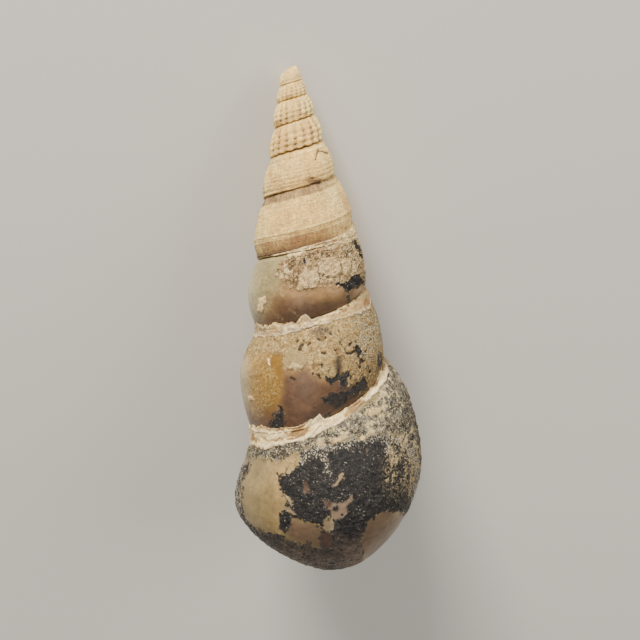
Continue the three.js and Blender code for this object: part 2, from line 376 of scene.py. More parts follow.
def tube(name, section, attributes, uv, mouth_rings=1):
    """A closed tube from rows of a closed section, whose last end is filled with rough rings."""
    rows, columns = section.shape[:2]
    count = rows * columns
    points = [section.reshape(-1, 3)]
    index = np.arange(count).reshape(rows, columns)
    right = np.roll(index, -1, 1)
    quads = [np.stack([index[:-1], index[1:], right[1:], right[:-1]], -1).reshape(-1, 4)]
    triangles = []
    copies = [np.arange(count)]
    for end, rings in ((0, 1), (rows - 1, mouth_rings)):
        rim = section[end]
        centre = rim.mean(0)
        previous = index[end]
        for k in range(1, rings):
            ring = centre + (rim - centre) * (1 - k / rings)
            broken = MOUTH_ROUGHNESS * (layered(ring, 0.9, 5, 91) - 0.3)
            points.append(ring + MOUTH_FACING * broken[:, None])
            copies.append(index[end])
            current = count + np.arange(columns)
            count += columns
            quads.append(np.stack([previous, current, np.roll(current, -1), np.roll(previous, -1)], -1))
            previous = current
        points.append(centre[None])
        copies.append(index[end, :1])
        tip = np.full(columns, count)
        count += 1
        after = np.roll(previous, -1)
        triangles.append(np.stack([previous, tip, after] if end else [previous, after, tip], -1))
    source = np.concatenate(copies)
    data = {key: values.reshape(-1, *values.shape[2:])[source] for key, values in attributes.items()}
    joined = [np.concatenate(parts) for parts in (points, quads, triangles)]
    return make_mesh(name, *joined, data, uv.reshape(-1, 2)[source])


def turns_between(first, last, column, front_step, back_step):
    """Turns spaced by a step in millimetres, at the radius in a column of the spiral's table.

    The step is finer on the side that shows.
    """
    turns = [first]
    while turns[-1] < last:
        step = front_step if math.sin(TAU * turns[-1]) > SHOWING else back_step
        turns.append(turns[-1] + step / (TAU * reading(SPIRAL, column, turns[-1])))
    turns[-1] = last
    return np.array(turns)


def grid_normals(points):
    """Outward normals of a grid whose rows run round the axis and whose columns run down it."""
    normal = np.cross(np.gradient(points, axis=0), np.gradient(points, axis=1))
    return normal / np.maximum(np.linalg.norm(normal, axis=-1, keepdims=True), 1e-9)


def arc_lengths(points):
    """Distance across the whorl from the upper suture."""
    steps = np.linalg.norm(np.diff(points, axis=1), axis=-1)
    return np.concatenate([np.zeros((len(points), 1)), np.cumsum(steps, 1)], 1)


def padded(values):
    """Values of the seen columns carried on to the two unseen ones."""
    return np.concatenate([values[:, :1], values, values[:, -1:]], 1)


def inside_columns(points, turn, first, last):
    """Adds the unseen end columns of a section, each a radius and a height, before and after."""
    before = round_axis(turn, *first)[:, None]
    after = round_axis(turn, *last)[:, None]
    return np.concatenate([before, points, after], 1)


# Colours
TAN = colour(236, 192, 114)
TAN_WARM = colour(224, 178, 106)
TAN_PALE = colour(250, 220, 146)
TAN_BROWN = colour(150, 108, 68)
CREAM = colour(250, 224, 166)
BEIGE = colour(204, 178, 134)
SAND = colour(184, 152, 98)
SAND_PALE = colour(205, 186, 140)
AMBER = colour(136, 102, 44)
HONEY = colour(148, 116, 76)
CARNELIAN = colour(100, 74, 54)
DARK_AGATE = colour(84, 64, 50)
GREY_AGATE = colour(144, 132, 94)
OLIVE_AGATE = colour(130, 113, 77)
BROWN_AGATE = colour(106, 86, 66)
GREY_BAND = colour(138, 132, 118)
WHITE = colour(250, 236, 200)
RUST = colour(84, 64, 52)
PINK_BROWN = colour(122, 103, 85)
ISLAND_PALE = colour(146, 128, 98)
# painted highlight along the left rims of the agate whorls
EDGE_HIGHLIGHT = colour(170, 162, 134)
BAND_BROWN = colour(146, 124, 92)
# painted shade for the spire's grooves, pits, valleys and cracks
RECESS_SHADE_BROWN = colour(120, 92, 66)
# painted shadow in the hollows under the ledge's lips
HOLLOW_SHADOW_BROWN = colour(150, 114, 70)
CRUMB_BROWN = colour(156, 136, 104)


# The spire
RIBS = 17
CORDS = 5
SHELL_END = 6.93  # the turn where the spire's shell is broken off, on the hidden side
SPIRE_COLUMNS = 64
SPIRE_STEPS = (0.085, 0.17)
CORE_RADIUS = 0.02  # of the unseen inner ends of a section
TUCK_UP = 0.3  # from the upper suture to the inner end
TUCK_DOWN = 0.4  # from the lower suture to the inner end
TIP_BREAK = 0.3  # how much of the tip is missing
CRACKS = (
    ([(318.5, 150), (317, 155), (315.5, 160)], 1.6),
    ([(318, 151.5), (323, 151.5), (328, 153.5)], 1.4),
)
SPIRE_SIDE = (0, 30)  # pixels round the side over which the drawn marks end
BAND_FADE = (322, 342)  # columns over which the brown band ends
PALE_TIP = (66, 150)  # rows over which the pale tip ends
CHIP = [(304, 178), (309, 175), (316, 178), (322, 177), (321, 184), (313, 185), (306, 183)]


def spire_relief(turn, run, width, points):
    """How far the shell stands out, and the shares of its grooves, bands, pits and lines."""
    a = run / width
    size = reading(SPIRAL, WIDEST, turn) / 2.5
    young = soft(turn, 1.5, 2.3) * (1 - soft(turn, 4.3, 5.3))
    wobble = 0.012 * noise(points, 1.3, 5)
    rib = np.cos(TAU * (RIBS * turn + 0.3 * np.sin(2.4 * a)) + 14 * wobble)
    rib = np.sign(rib) * np.abs(rib) ** 0.8
    cord = np.cos(TAU * (CORDS * a + 0.15) + 9 * wobble)
    lower = soft(a, 0.2, 0.6)
    relief = young * size * (0.075 * rib * soft(a, 0.0, 0.2) + 0.022 * cord * soft(a, 0.2, 0.5))
    pits = young * lower * soft(-rib - 0.75 * cord + 30 * wobble, 0.6, 1.7) * soft(turn, 1.2, 3.4)
    relief -= 0.06 * size * pits
    valleys = young * soft(-rib, 0.1, 1) * soft(a, 0.05, 0.25)
    middle = soft(turn, 4.2, 5.0) * (1 - soft(turn, 5.9, 6.2))
    relief += middle * 0.012 * np.cos(TAU * run / 0.33 + 1 + 20 * wobble) * soft(a, 0.35, 0.8)
    relief += middle * 0.02 * rib * soft(a, 0.1, 0.4)
    fine = soft(turn, 4.6, 5.6) * soft(a, 0.5, 0.9)
    relief += fine * 0.006 * np.cos(TAU * run / 0.19)
    groove = hump(run, 0.16 * size + 0.05)
    relief -= (0.08 + 0.08 * size) * groove * (1 - 0.75 * soft(turn, 5.2, 5.8))
    band = soft(turn, 5.2, 5.8) * (1 - soft(run, 0.8, 0.9)) * soft(run, 0, 0.08)
    relief -= 0.04 * band
    relief += soft(turn, 4.5, 5.2) * 0.03 * hump(run - 0.62, 0.1)
    thread = soft(turn, 5.6, 6.0) * hump(run - 1.55, 0.07)
    relief += 0.03 * thread
    relief += (0.03 + 0.05 * size) * hump(width - run, 0.1 * size + 0.04)
    ridge_at = np.interp(turn, [5.9, 6.25, 6.5, 6.75, 7.0], [0.67, 0.69, 0.72, 0.78, 0.85])
    last_whorl = soft(turn, 5.85, 6.05)
    from_ridge = run - ridge_at * width
    ridge = last_whorl * (hump(from_ridge, 0.08) + 0.5 * hump(from_ridge - 0.42, 0.06))
    relief += 0.045 * ridge
    brown = soft(turn, 6.04, 6.2) * soft(from_ridge, 0.15, 0.55)
    relief -= 0.03 * last_whorl * soft(from_ridge, 0.05, 0.3)
    striae = noise(np.stack([turn * 130, 0.3 * run, 0 * run], -1), 1, 31)
    relief += (0.004 + 0.012 * brown) * striae * soft(turn, 4.5, 5.5)
    relief += 0.03 * layered(points, 0.55, 2, 3) * soft(turn, 2, 5) + 0.014 * layered(points, 2.6, 3, 8)
    faint_line = 0.4 * soft(turn, 5.4, 5.8) * hump(run - 1.1, 0.18)
    pale_lines = np.clip(ridge + 0.6 * thread + faint_line, 0, 1)
    return relief, groove, band, brown, pits, valleys, pale_lines


def build_spire():
    """The whorls that keep their shell, from the broken tip to where the shell ends."""
    turn = turns_between(SPIRAL[0][0], SHELL_END, WIDEST, *SPIRE_STEPS)
    turn_grid, across = np.meshgrid(turn, np.linspace(0, 1, SPIRE_COLUMNS), indexing="ij")
    radius, height = side(turn_grid, across)
    points = round_axis(turn_grid, radius, height)
    normal = grid_normals(points)
    run = arc_lengths(points)
    marks = spire_relief(turn_grid, run, run[:, -1:], points)
    relief, groove, band, brown, pits, valleys, pale_lines = marks
    u, v, past = spread_out(turn_grid, radius, height)
    front = 1 - soft(past, *SPIRE_SIDE)

    crack = soft(strokes(CRACKS, u, v), -0.6, 0.4) * front
    chipped = soft(area(CHIP, u + 1.5 * noise(points, 6, 41), v), -0.5, 1.5) * front
    relief -= 0.06 * crack + 0.05 * chipped * (0.6 + noise(points, 8, 43))
    points = points + normal * relief[..., None]

    band = band * (1 - 0.8 * soft(u, *BAND_FADE) * front)
    groove = groove * soft(turn_grid, 1.6, 3) * (1 - 0.6 * soft(turn_grid, 5.2, 5.8))
    # Painted shade: dark darkens the suture groove, the recessed band, pits, the valleys between ribs, the
    # cracks and the chip.
    dark = 0.8 * groove + 0.45 * band * soft(noise(points, 2.6, 44), -0.2, 0.5)
    dark = np.clip(dark + 0.42 * pits + 0.18 * valleys + 0.8 * crack + 0.7 * chipped, 0, 1)
    dark *= 0.75 + 0.5 * noise(points, 1.4, 12)
    # painted shadow along the lower edge of the brown band
    dark += 0.6 * brown * soft(across, 0.9, 0.97)
    pale = 0.4 * (1 - soft(v, *PALE_TIP)) + 0.3 * noise(points, 0.8, 14) + 0.2
    # painted light: paler towards the left and right sides of the spire
    pale = pale + 0.6 * soft(np.abs(np.cos(TAU * turn_grid)), 0.3, 0.95)
    warm = np.clip(0.55 * brown + 0.3 * layered(points, 0.7, 3, 19), 0, 1)
    skin = painted(TAN, [
        (TAN_PALE, pale),
        (TAN_WARM, 0.55 * soft(layered(points, 0.9, 3, 21), 0, 0.9)),
        (TAN_BROWN, 1.1 * warm),
        (BAND_BROWN, 0.7 * band),
        # painted shade browning the valleys between the ribs
        (TAN_BROWN, 0.3 * valleys),
        (TAN_PALE, 0.8 * pale_lines),
        (RECESS_SHADE_BROWN, np.clip(dark, 0, 1) * 0.8),
    ])
    later = soft(turn_grid, 4.3, 5.6)
    attributes = {
        "skin": skin,
        # dark is painted shade, read by the shell material
        "dark": dark,
        "lines": later * (1 - 0.7 * brown) * (0.35 + 0.65 * soft(across, 0.4, 0.9)),
        "growth_lines": np.clip(brown + 0.6 * band + 0.4 * later, 0, 1),
    }
    tip_y = APEX[1] - TIP_BREAK
    first_y = np.maximum(reading(SPIRAL, SUTURE, turn) + TUCK_UP, tip_y - 4 * (turn - 2))
    first_y = np.minimum(np.where(turn < 2, tip_y, first_y), tip_y)
    first_r = np.where(turn < 2, 0.03, CORE_RADIUS)
    section = inside_columns(points, turn, (first_r, first_y), (CORE_RADIUS, height[:, -1] - TUCK_DOWN))
    attributes = {key: padded(values) for key, values in attributes.items()}
    return tube("spire", section, attributes, padded(np.stack([turn_grid * TAU * 3, run], -1)))


# The cast's patches, drawn in the picture's columns and rows
WHORL_7_ROUGH = [
    (281, 262), (292, 255), (305, 252), (320, 248), (338, 240), (352, 234), (362, 243), (368, 262),
    (370, 286), (352, 288), (338, 286), (322, 288), (306, 290), (293, 289), (284, 284), (277, 274),
]
WHORL_7_FLAKES = (
    [(319, 262), (325, 258), (333, 257), (340, 261), (341, 270), (337, 277), (327, 277), (320, 273)],
    [(298, 277), (304, 272), (311, 270), (318, 274), (320, 282), (315, 288), (306, 289), (300, 286)],
    [(341, 261), (347, 257), (350, 262), (350, 275), (345, 277), (342, 269)],
    [(260, 299), (265, 296), (267, 300), (264, 305), (262, 312), (258, 311)],
    [(335, 237), (344, 231), (351, 232), (353, 240), (346, 246), (338, 244)],
    [(285, 252), (296, 247), (308, 246), (306, 252), (297, 256), (288, 257)],
)
WHORL_7_STREAKS = (
    ([(252, 260), (250, 270), (249, 282), (251, 296), (255, 306)], 2.6),
    ([(262, 268), (258, 280), (257, 292)], 2.2),
    ([(265, 288), (262, 300), (259, 311)], 2.6),
    ([(271, 288), (275, 296)], 1.8),
    ([(280, 289), (283, 296)], 2.0),
    ([(268, 308), (263, 320)], 2.0),
    ([(290, 310), (298, 316)], 1.2),
)
WHORL_7_DARK = (
    [(336, 283), (339, 279), (342, 283), (347, 281), (352, 277), (360, 275), (366, 280), (362, 286),
     (354, 288), (350, 290), (351, 297), (349, 304), (346, 299), (346, 291), (341, 287)],
    [(299, 262), (305, 260), (309, 260), (305, 262.5)],
    [(352, 240), (356, 242), (361, 250), (364, 258), (361, 257), (355, 250)],
)
WHORL_8_SAND = [
    (240, 341), (262, 338), (275, 334), (290, 331), (305, 328), (322, 324), (338, 320), (350, 313),
    (362, 305), (374, 296), (390, 312), (397, 345), (397, 380), (384, 394), (366, 394), (352, 392),
    (346, 384), (338, 382), (326, 380), (318, 378), (311, 374), (306, 362), (303, 372), (292, 371),
    (284, 369), (284, 355), (288, 347), (281, 353), (268, 352), (256, 355), (246, 358),
]
WHORL_8_PATCH = [
    (285, 352), (289, 346), (297, 350), (305, 352), (310, 358), (305, 364), (302, 370), (284, 368),
]
WHORL_8_FLAKES = (
    [(288, 366.5), (292, 364.2), (299, 364.4), (303.5, 366.5), (301, 369.5), (295, 371), (290, 369)],
    [(248, 396), (252, 395), (255, 399), (250, 400)],
    [(266, 359), (270, 360), (271, 366), (268, 365)],
)
WHORL_8_AMBER = [
    (246, 352), (262, 350), (272, 352), (284, 350), (284, 372), (286, 385), (282, 400), (276, 408),
    (271, 425), (250, 425), (240, 400), (236, 375),
]
WHORL_8_CLEAR = [(271, 355), (277, 352), (285, 352), (284, 372), (280, 386), (272, 384)]
WHORL_8_CARNELIAN = [
    (284, 373), (294, 374), (306, 368), (312, 377), (322, 382), (336, 383), (341, 392), (338, 402),
    (325, 400), (310, 410), (300, 420), (288, 420), (281, 404), (283, 388),
]
WHORL_8_SHADE = [
    (318, 402), (330, 396), (342, 396), (352, 392), (362, 388), (352, 402), (342, 416), (326, 426),
    (308, 427), (300, 420), (306, 414),
]
WHORL_8_DARK = (
    [(310, 371), (313, 374), (315, 377), (318, 373), (321, 378), (326, 375), (331, 377), (335, 375),
     (338, 370), (341, 376), (345, 374), (351, 371), (350, 378), (347, 385), (342, 385), (338, 381),
     (334, 382), (330, 385), (326, 383), (322, 379), (316, 380), (312, 376)],
    [(350, 389), (355, 386), (360, 381), (367, 378), (368, 386), (364, 391), (358, 393), (352, 397),
     (346, 401), (341, 406), (338, 398), (340, 388), (344, 393)],
    [(320, 397), (329, 394), (338, 396), (345, 402), (338, 409), (332, 404), (326, 402)],
    [(308, 423), (318, 416), (331, 409), (329, 416), (318, 424)],
    [(351, 346), (356, 344), (361, 349), (364, 355), (359, 357), (354, 352)],
    [(377, 354), (381, 352), (382, 366), (379, 372), (377, 364)],
    [(276, 412), (280, 406), (285, 412), (285, 420), (282, 430), (275, 430), (270, 424), (273, 416)],
)
WHORL_8_BLOT = [(336, 355), (341, 356), (342, 366), (340, 376), (336, 375), (335, 364)]
PITS = (  # column, row and size of the deeper holes in the sandy crust
    (300, 349, 1.6), (301, 345, 2.0), (302, 340, 1.4), (297, 341, 1.2), (308, 344.5, 1.3),
    (325.5, 337.5, 1.8), (331, 333.5, 1.2), (320, 341, 0.9), (325, 353.5, 1.7), (322.5, 355, 1.3),
    (322, 366, 1.2), (347.5, 352, 1.9), (351, 353, 1.5), (355, 340.5, 1.3), (362, 361, 2.2),
    (361, 366, 1.6), (340, 341, 1.1), (345, 348, 1.0), (354, 352, 2.0), (336, 349, 1.2),
    (341, 344, 1.2), (317, 338, 1.2), (350, 344, 1.6), (358, 349, 1.8), (358, 357, 1.5),
    (366, 352, 1.3), (369, 371, 1.4), (293, 379, 1.6), (371, 340, 1.1),
)
BODY_WINDOW = [
    (247, 466), (255, 462), (266, 463), (274, 459), (282, 459), (292, 459), (299, 457), (300, 463),
    (296, 469), (290, 471), (282, 473), (280, 480), (280, 487), (284, 494), (287, 503), (285, 511),
    (281, 516), (280, 524), (283, 529), (276, 532), (266, 531), (257, 525), (251, 517), (246, 507),
    (243, 496), (242, 484),
]
BODY_CRUST = [
    (299, 462), (300, 452), (310, 446), (322, 443), (335, 444), (346, 441), (362, 437), (380, 433),
    (400, 436), (412, 440), (428, 460), (440, 500), (430, 540), (404, 514), (388, 511), (380, 515),
    (371, 519), (366, 524), (362, 533), (361, 545), (364, 554), (362, 566), (330, 585), (300, 580),
    (265, 560), (240, 540), (243, 524), (250, 523), (257, 529), (268, 532), (279, 533), (287, 538),
    (294, 541), (300, 543), (310, 545), (319, 548), (320, 530), (316, 523), (300, 521), (288, 515),
    (281, 512), (285, 508), (284, 500), (281, 490), (280, 480), (279, 474), (288, 469), (297, 465),
]
BODY_BROWN = [(287, 524), (294, 520), (302, 523), (316, 525), (321, 532), (319, 548), (298, 542), (286, 531)]
BODY_CORNER = [
    (371, 520), (380, 515), (388, 511), (396, 517), (404, 512), (420, 520), (405, 560), (372, 570),
    (364, 554), (361, 545), (362, 533), (366, 524),
]
BODY_ISLANDS = (
    ([(339, 475), (344, 473), (345, 479), (341, 482), (337, 486), (332, 488), (331, 486),
      (336, 482)], ISLAND_PALE),
    ([(328, 503), (335, 502), (343, 501), (349, 495), (353, 493), (353, 499), (347, 505), (348, 512),
      (344, 518), (337, 520), (332, 517), (331, 510), (327, 509)], PINK_BROWN),
    ([(321, 523), (325, 517), (331, 515), (335, 519), (335, 526), (330, 533), (325, 532)], ISLAND_PALE),
    ([(322, 532), (331, 534), (331, 545), (325, 548), (321, 541)], RUST),
    ([(303, 480), (307, 482), (309, 493), (305, 496), (303, 489)], RUST),
    ([(284, 495), (289, 496), (294, 501), (291, 503), (287, 500)], ISLAND_PALE),
    ([(285, 508), (289, 506), (295, 510), (299, 514), (294, 514), (288, 512)], ISLAND_PALE),
    ([(322, 498), (329, 500), (331, 506), (326, 507)], RUST),
    ([(366, 448), (369, 450), (368, 455), (365, 452)], RUST),
)
BODY_HOLES = ((336, 508, 3.0), (345, 499, 2.0), (328, 519, 1.5), (342, 515, 1.6))
BODY_VEINS = (
    ([(412, 428), (406, 437), (402, 446), (400, 454), (396, 463)], 1.5),
    ([(396, 455), (394, 464), (391, 462)], 1.7),
    ([(389, 445), (392, 455), (389, 468), (386, 476)], 1.2),
    ([(402, 446), (408, 456), (412, 468), (411, 480)], 1.2),
    ([(411, 480), (408, 488), (407, 498)], 1.2),
    ([(393, 474), (391, 482)], 1.5),
    ([(404, 462), (405, 474), (403, 486)], 1.0),
    ([(414, 440), (416, 456), (418, 470)], 1.0),
    ([(385, 468), (388, 478), (386, 482)], 1.0),
    ([(398, 436), (403, 446)], 1.4),
    ([(392, 452), (399, 457)], 1.2),
    ([(298, 466), (290, 470), (284, 475)], 1.8),
    ([(284, 494), (289, 500), (292, 507)], 1.6),
)
BODY_GRAIN = [
    (380, 358), (392, 362), (410, 385), (424, 420), (428, 450), (410, 446), (400, 434), (384, 434),
    (362, 436), (346, 440), (330, 445), (310, 445), (300, 451), (285, 459), (262, 460), (247, 458),
    (246, 448), (262, 442), (290, 440), (310, 434), (330, 428), (350, 417), (365, 408), (378, 398),
    (383, 380),
]
BODY_RIM = [
    (250, 462), (240, 466), (226, 480), (226, 530), (250, 548), (266, 556), (258, 536), (250, 526),
    (245, 513), (242, 498), (242, 483), (248, 470),
]
SPECKLED = (
    ([(300, 460), (320, 447), (345, 443), (362, 438), (385, 436), (400, 440)], 11),
    ([(240, 462), (236, 485), (238, 515), (246, 530), (262, 545), (285, 556), (310, 564), (350, 562)], 11),
    ([(402, 432), (416, 465), (416, 500)], 12),
    ([(385, 436), (390, 452)], 8),
    ([(318, 440), (330, 475)], 6),
)
BODY_FLAKES = (
    [(364, 412), (372, 408), (380, 407), (380, 413), (372, 416)],
    [(329, 441), (334, 438), (342, 436), (346, 439), (338, 443)],
    [(316, 446), (321, 443), (327, 444), (322, 447)],
    [(358, 438), (362, 435), (368, 437), (363, 440)],
)
BODY_SPOT = [(279, 513), (287, 511), (292, 517), (290, 526), (285, 533), (280, 529), (278, 520)]
MIDWAY = 300  # a column
GREY_ROW = 285
DUSK_ROW = 400
SCRAWL = (321, 331, 10, 4.5)  # column, row, half width and half height
# Pairs of columns or rows between which a colour fades in or out
GREY_FADE = (266, 292)
WARM_FADE = (258, 284)
WARM_ROWS = (292, 306)
# painted light: flakes made paler towards the right of whorl 7
PALE_FLAKES = (335, 352)
THIN_MOTTLE = (262, 300)
WHORL_7_EDGE = (250, 262)
WHORL_7_FOOT = (298, 316)
WHORL_8_EDGE = (242, 254)
WHORL_8_LOW = (396, 420)
WHORL_8_FOOT = (410, 428)
MOTTLE_FOOT = (396, 414)
REDDER_COLUMNS = (322, 334)
REDDER_ROWS = (368, 380)
DARKER_COLUMNS = (332, 342)
DARKER_ROWS = (376, 390)
PITTED_SIDE = (330, 360)
MOSS_SIDE = (335, 366)
GLOW_COLUMNS = (348, 364)
GLOW_ROWS = (345, 368)
SANDY_WINDOW = (256, 284)
DUSK_RIGHT = (370, 430)
DUSK_LEFT = (290, 325)
GILT_COLUMNS = (376, 396)
GILT_ROWS = (478, 512)
SPECKS_FOOT = (528, 560)
SMOKE_ROWS = (525, 560)
BODY_STRIP = [(250, 455), (266, 457), (282, 456), (300, 452), (299, 468), (284, 466), (266, 461)]


# The cast
EIGHTH_WHORL = 7.95  # the turn, behind, from which WHORL_8's patches are used
CAST_SIDE = (25, 60)  # pixels round the side over which the drawn patches pass into guesses


def agate_colour(u, v, seventh, eighth, last, points):
    """Colours of the bare agate, as soft patches on honey, with a painted highlight along the left rims and
    painted shade low on the whorls.
    """

    def inside(outline, low, high):
        return soft(area(outline, u, v), low, high)

    tilted = u + 5 * noise(points, 0.5, 81) + 0.6 * (v - GREY_ROW)
    layers = [
        (GREY_AGATE, seventh * (1 - soft(tilted, *GREY_FADE))),
        # painted highlight along the left rim of whorl 7
        (EDGE_HIGHLIGHT, seventh * (1 - soft(u, *WHORL_7_EDGE)) * 0.6),
        (CARNELIAN, seventh * soft(u, *WARM_FADE) * soft(v - 0.15 * (u - MIDWAY), *WARM_ROWS) * 0.75),
        # painted shade low on whorl 7
        (DARK_AGATE, seventh * soft(v + 0.25 * (u - MIDWAY), *WHORL_7_FOOT) * 0.7),
        (AMBER, eighth * inside(WHORL_8_AMBER, -4, 6)),
        # painted highlight along the left rim of whorl 8
        (EDGE_HIGHLIGHT, eighth * (1 - soft(u, *WHORL_8_EDGE)) * 0.7),
        (CARNELIAN, eighth * inside(WHORL_8_CARNELIAN, -5, 5)),
        # painted shade: whorl 8 darker towards its foot
        (CARNELIAN, eighth * soft(v, *WHORL_8_LOW) * 0.8),
        (DARK_AGATE, eighth * soft(v, *WHORL_8_FOOT) * 0.5),
        (CARNELIAN, eighth * soft(u, *REDDER_COLUMNS) * soft(v, *REDDER_ROWS)),
        (DARK_AGATE, eighth * inside(WHORL_8_SHADE, -4, 5)),
        # painted shade at the bottom right of whorl 8
        (DARK_AGATE, eighth * soft(u, *DARKER_COLUMNS) * soft(v, *DARKER_ROWS) * 0.8),
        (OLIVE_AGATE, last * 1.0),
        (SAND, last * inside(BODY_WINDOW, -6, 3) * soft(u, *SANDY_WINDOW) * 0.35),
        (BROWN_AGATE, last * np.maximum(inside(BODY_BROWN, -4, 3), inside(BODY_CORNER, -4, 3))),
    ]
    layers += [(paint, last * inside(outline, -3, 0.5)) for outline, paint in BODY_ISLANDS]
    return painted(HONEY, layers) * (1 + 0.16 * layered(points, 0.9, 4, 83))[..., None]


def cast_relief(distance, crack, tint, last, points):
    """How far the crusts, flakes and pits stand out, from the distances inside their patches."""
    crust, sand = soft(distance["crust"], -0.8, 0.9), soft(distance["sand"], -0.8, 0.9)
    rough = soft(distance["rough"], -0.9, 0.9)
    lumps = noises(points, (0.035, 1.9, 90), (0.045, 4.1, 92), (0.04, 8.5, 93))
    relief = 0.04 * layered(points, 0.3, 2, 91)
    relief += crust * np.where(last, 1.0, 0.6) * (0.03 + 1.1 * lumps)
    relief += (1 - crust) * sand * (0.03 + 0.5 * lumps)
    relief += rough * (0.045 + 0.7 * lumps + 0.04 * (tint - 0.5)) - 0.05 * crack
    relief += soft(distance["shell"], -0.5, 0.6) * (0.07 + 0.4 * lumps)
    relief += soft(distance["patch"], -0.6, 0.6) * 0.03
    relief += soft(distance["grain"], -2, 2) * (0.02 + 1.2 * lumps)
    relief += soft(distance["veins"], -0.6, 0.6) * 0.03 - 0.09 * soft(distance["pits"], -0.4, 0.8)
    relief -= 0.05 * crust * ~last * soft(np.maximum(distance["sand"], distance["rough"]), 0, 3)
    return relief + 0.012 * (1 - crust) * (1 - sand) * noise(points, 3.5, 94)


def cast_fields(turn, radius, height, points):
    """The cast's patches, as distances inside each, with its agate colour and its relief."""
    u, v, past = spread_out(turn, radius, height)
    behind = soft(past, *CAST_SIDE)
    last = turn > LAST_TURN
    seventh = ~last & (turn < EIGHTH_WHORL)
    eighth = ~last & ~seventh
    shift_u = noises(points, (2.0, 1.3, 51), (1.7, 3.1, 52), (1.3, 6.5, 53))
    shift_v = noises(points, (2.0, 1.4, 54), (1.7, 3.3, 55), (1.3, 6.9, 56))
    crumbs = noises(points, (2.4, 4.4, 62), (2.2, 8.7, 63))
    broad = 9 * layered(points, 0.28, 3, 61)

    def shaken(share=1.0):
        """Columns and rows pushed about, so that an outline drawn on them is ragged."""
        return u + share * shift_u, v + share * shift_v

    def only(where, distance):
        return np.where(where, distance, -REACH)

    def hidden(front, back):
        """What is drawn in front, passing into a guess behind."""
        return front * (1 - behind) + back * behind

    rough = hidden(only(seventh, area(WHORL_7_ROUGH, *shaken()) + 0.9 * crumbs), only(seventh, broad))
    sand = only(eighth, area(WHORL_8_SAND, *shaken()) + 0.5 * crumbs)
    sand = np.where(last, area(BODY_STRIP, *shaken()) + 0.8 * crumbs - 3, sand)
    sand = hidden(sand, np.where(eighth, broad + 2, only(last, broad - 6)))

    dark = widest(WHORL_8_DARK, *shaken()) + 0.7 * crumbs
    dark = np.where(seventh, widest(WHORL_7_DARK, *shaken()) + 0.6 * crumbs, dark)
    body = widest((BODY_CRUST, BODY_RIM), *shaken()) + 0.75 * crumbs
    body = np.maximum(body, area(BODY_SPOT, *shaken(0.5)))
    body = np.minimum(body, 0.5 - widest([outline for outline, _ in BODY_ISLANDS], *shaken(0.5)))
    body = np.maximum(body, spots(BODY_HOLES, u + 0.4 * shift_u, v))
    crust = hidden(np.where(last, body, dark), np.where(last, broad + 5, -broad - 5))

    near, far, tint = cells(points + 0.3 * noise(points, 2.3, 64)[..., None], 2.6, 65)
    # painted light: flakes made paler towards the right of whorl 7
    tint = tint + 0.4 * soft(u, *PALE_FLAKES) * seventh
    crack = soft(rough, -0.9, 0.9) * (1 - soft(far - near, 0.02, 0.16))
    crack = crack * soft(noise(points, 1.1, 69), -0.5, 0.3)
    sparse = 1 - soft(noise(points, 0.45, 66) + soft(u, *PITTED_SIDE), 0.1, 0.6)
    pits = np.maximum(-REACH, spots(PITS, *shaken(0.8)) + 0.4)
    pits = np.maximum(only(~last, pits), only(eighth, (0.16 - near) * 14 - 5 * sparse))

    shell = widest(WHORL_7_FLAKES + WHORL_8_FLAKES, *shaken(0.5)) + 0.35 * crumbs * seventh
    shell = np.where(last, widest(BODY_FLAKES, *shaken(0.5)) + 0.3 * crumbs, shell)
    mottle = only(eighth, area(WHORL_8_AMBER, *shaken(1.8)) - 1)
    mottle = mottle - 9 * soft(area(WHORL_8_CLEAR, *shaken()), -2, 3) - 6 * soft(v, *MOTTLE_FOOT)
    thin = soft(noise(points, 0.9, 70) - soft(u, *THIN_MOTTLE), -0.6, 0.4)
    mottle = np.where(seventh, thin * 7 - 4, mottle)
    streaks = strokes(WHORL_7_STREAKS, u + 0.6 * shift_u, v)
    mottle = np.maximum(mottle, only(seventh, 2.2 * streaks + 1.5))
    specks = np.maximum(0.04 + 0.3 * noise(points, 0.7, 68), soft(strokes(SPECKLED, u, v), -7, 6))
    specks = hidden(specks, 0.1 + 0.3 * noise(points, 0.6, 67)) * (1 - 0.45 * soft(v, *SPECKS_FOOT))

    distances = {
        "sand": sand, "rough": rough, "crust": crust, "shell": shell, "mottle": mottle, "pits": pits,
        "patch": only(eighth, area(WHORL_8_PATCH, *shaken(0.4))),
        "grain": only(last, area(BODY_GRAIN, *shaken())),
        "veins": only(last, strokes(BODY_VEINS, u + 0.8 * shift_u, v + 0.5 * shift_v) + 0.35 * crumbs),
    }
    fields = {key: np.clip(values / REACH, -1, 1) for key, values in distances.items()}
    fields.update(
        specks=specks,
        crack=crack,
        tint=np.clip(tint, -1, 1),
        agate=np.clip(agate_colour(u, v, seventh, eighth, last, points), 0, 1),
        blot=eighth * soft(area(WHORL_8_BLOT, u, v), -3.5, 3),
        moss=soft(u, *MOSS_SIDE) * eighth,
        scrawl=soft(oval(*SCRAWL, *shaken()), -2, 1) * eighth,
        dusk=np.maximum(soft(u + 0.5 * (v - DUSK_ROW), *DUSK_RIGHT), 0.7 * (1 - soft(u, *DUSK_LEFT))),
        glow=soft(u, *GLOW_COLUMNS) * (1 - soft(v, *GLOW_ROWS)) * eighth,
        smoke=soft(v, *SMOKE_ROWS) * (0.75 + 0.5 * noise(points, 1.2, 95)),
        gilt=soft(u, *GILT_COLUMNS) * (1 - soft(v, *GILT_ROWS)) * last,
    )
    return fields, cast_relief(distances, crack, tint, last, points)


FRONT_STEP = 0.1
BACK_STEP = 2.1 * FRONT_STEP
PILLAR_FOOT = -20.6
MOUTH_RINGS = 14
CAST_START = 6.72  # under the last of the spire's shell


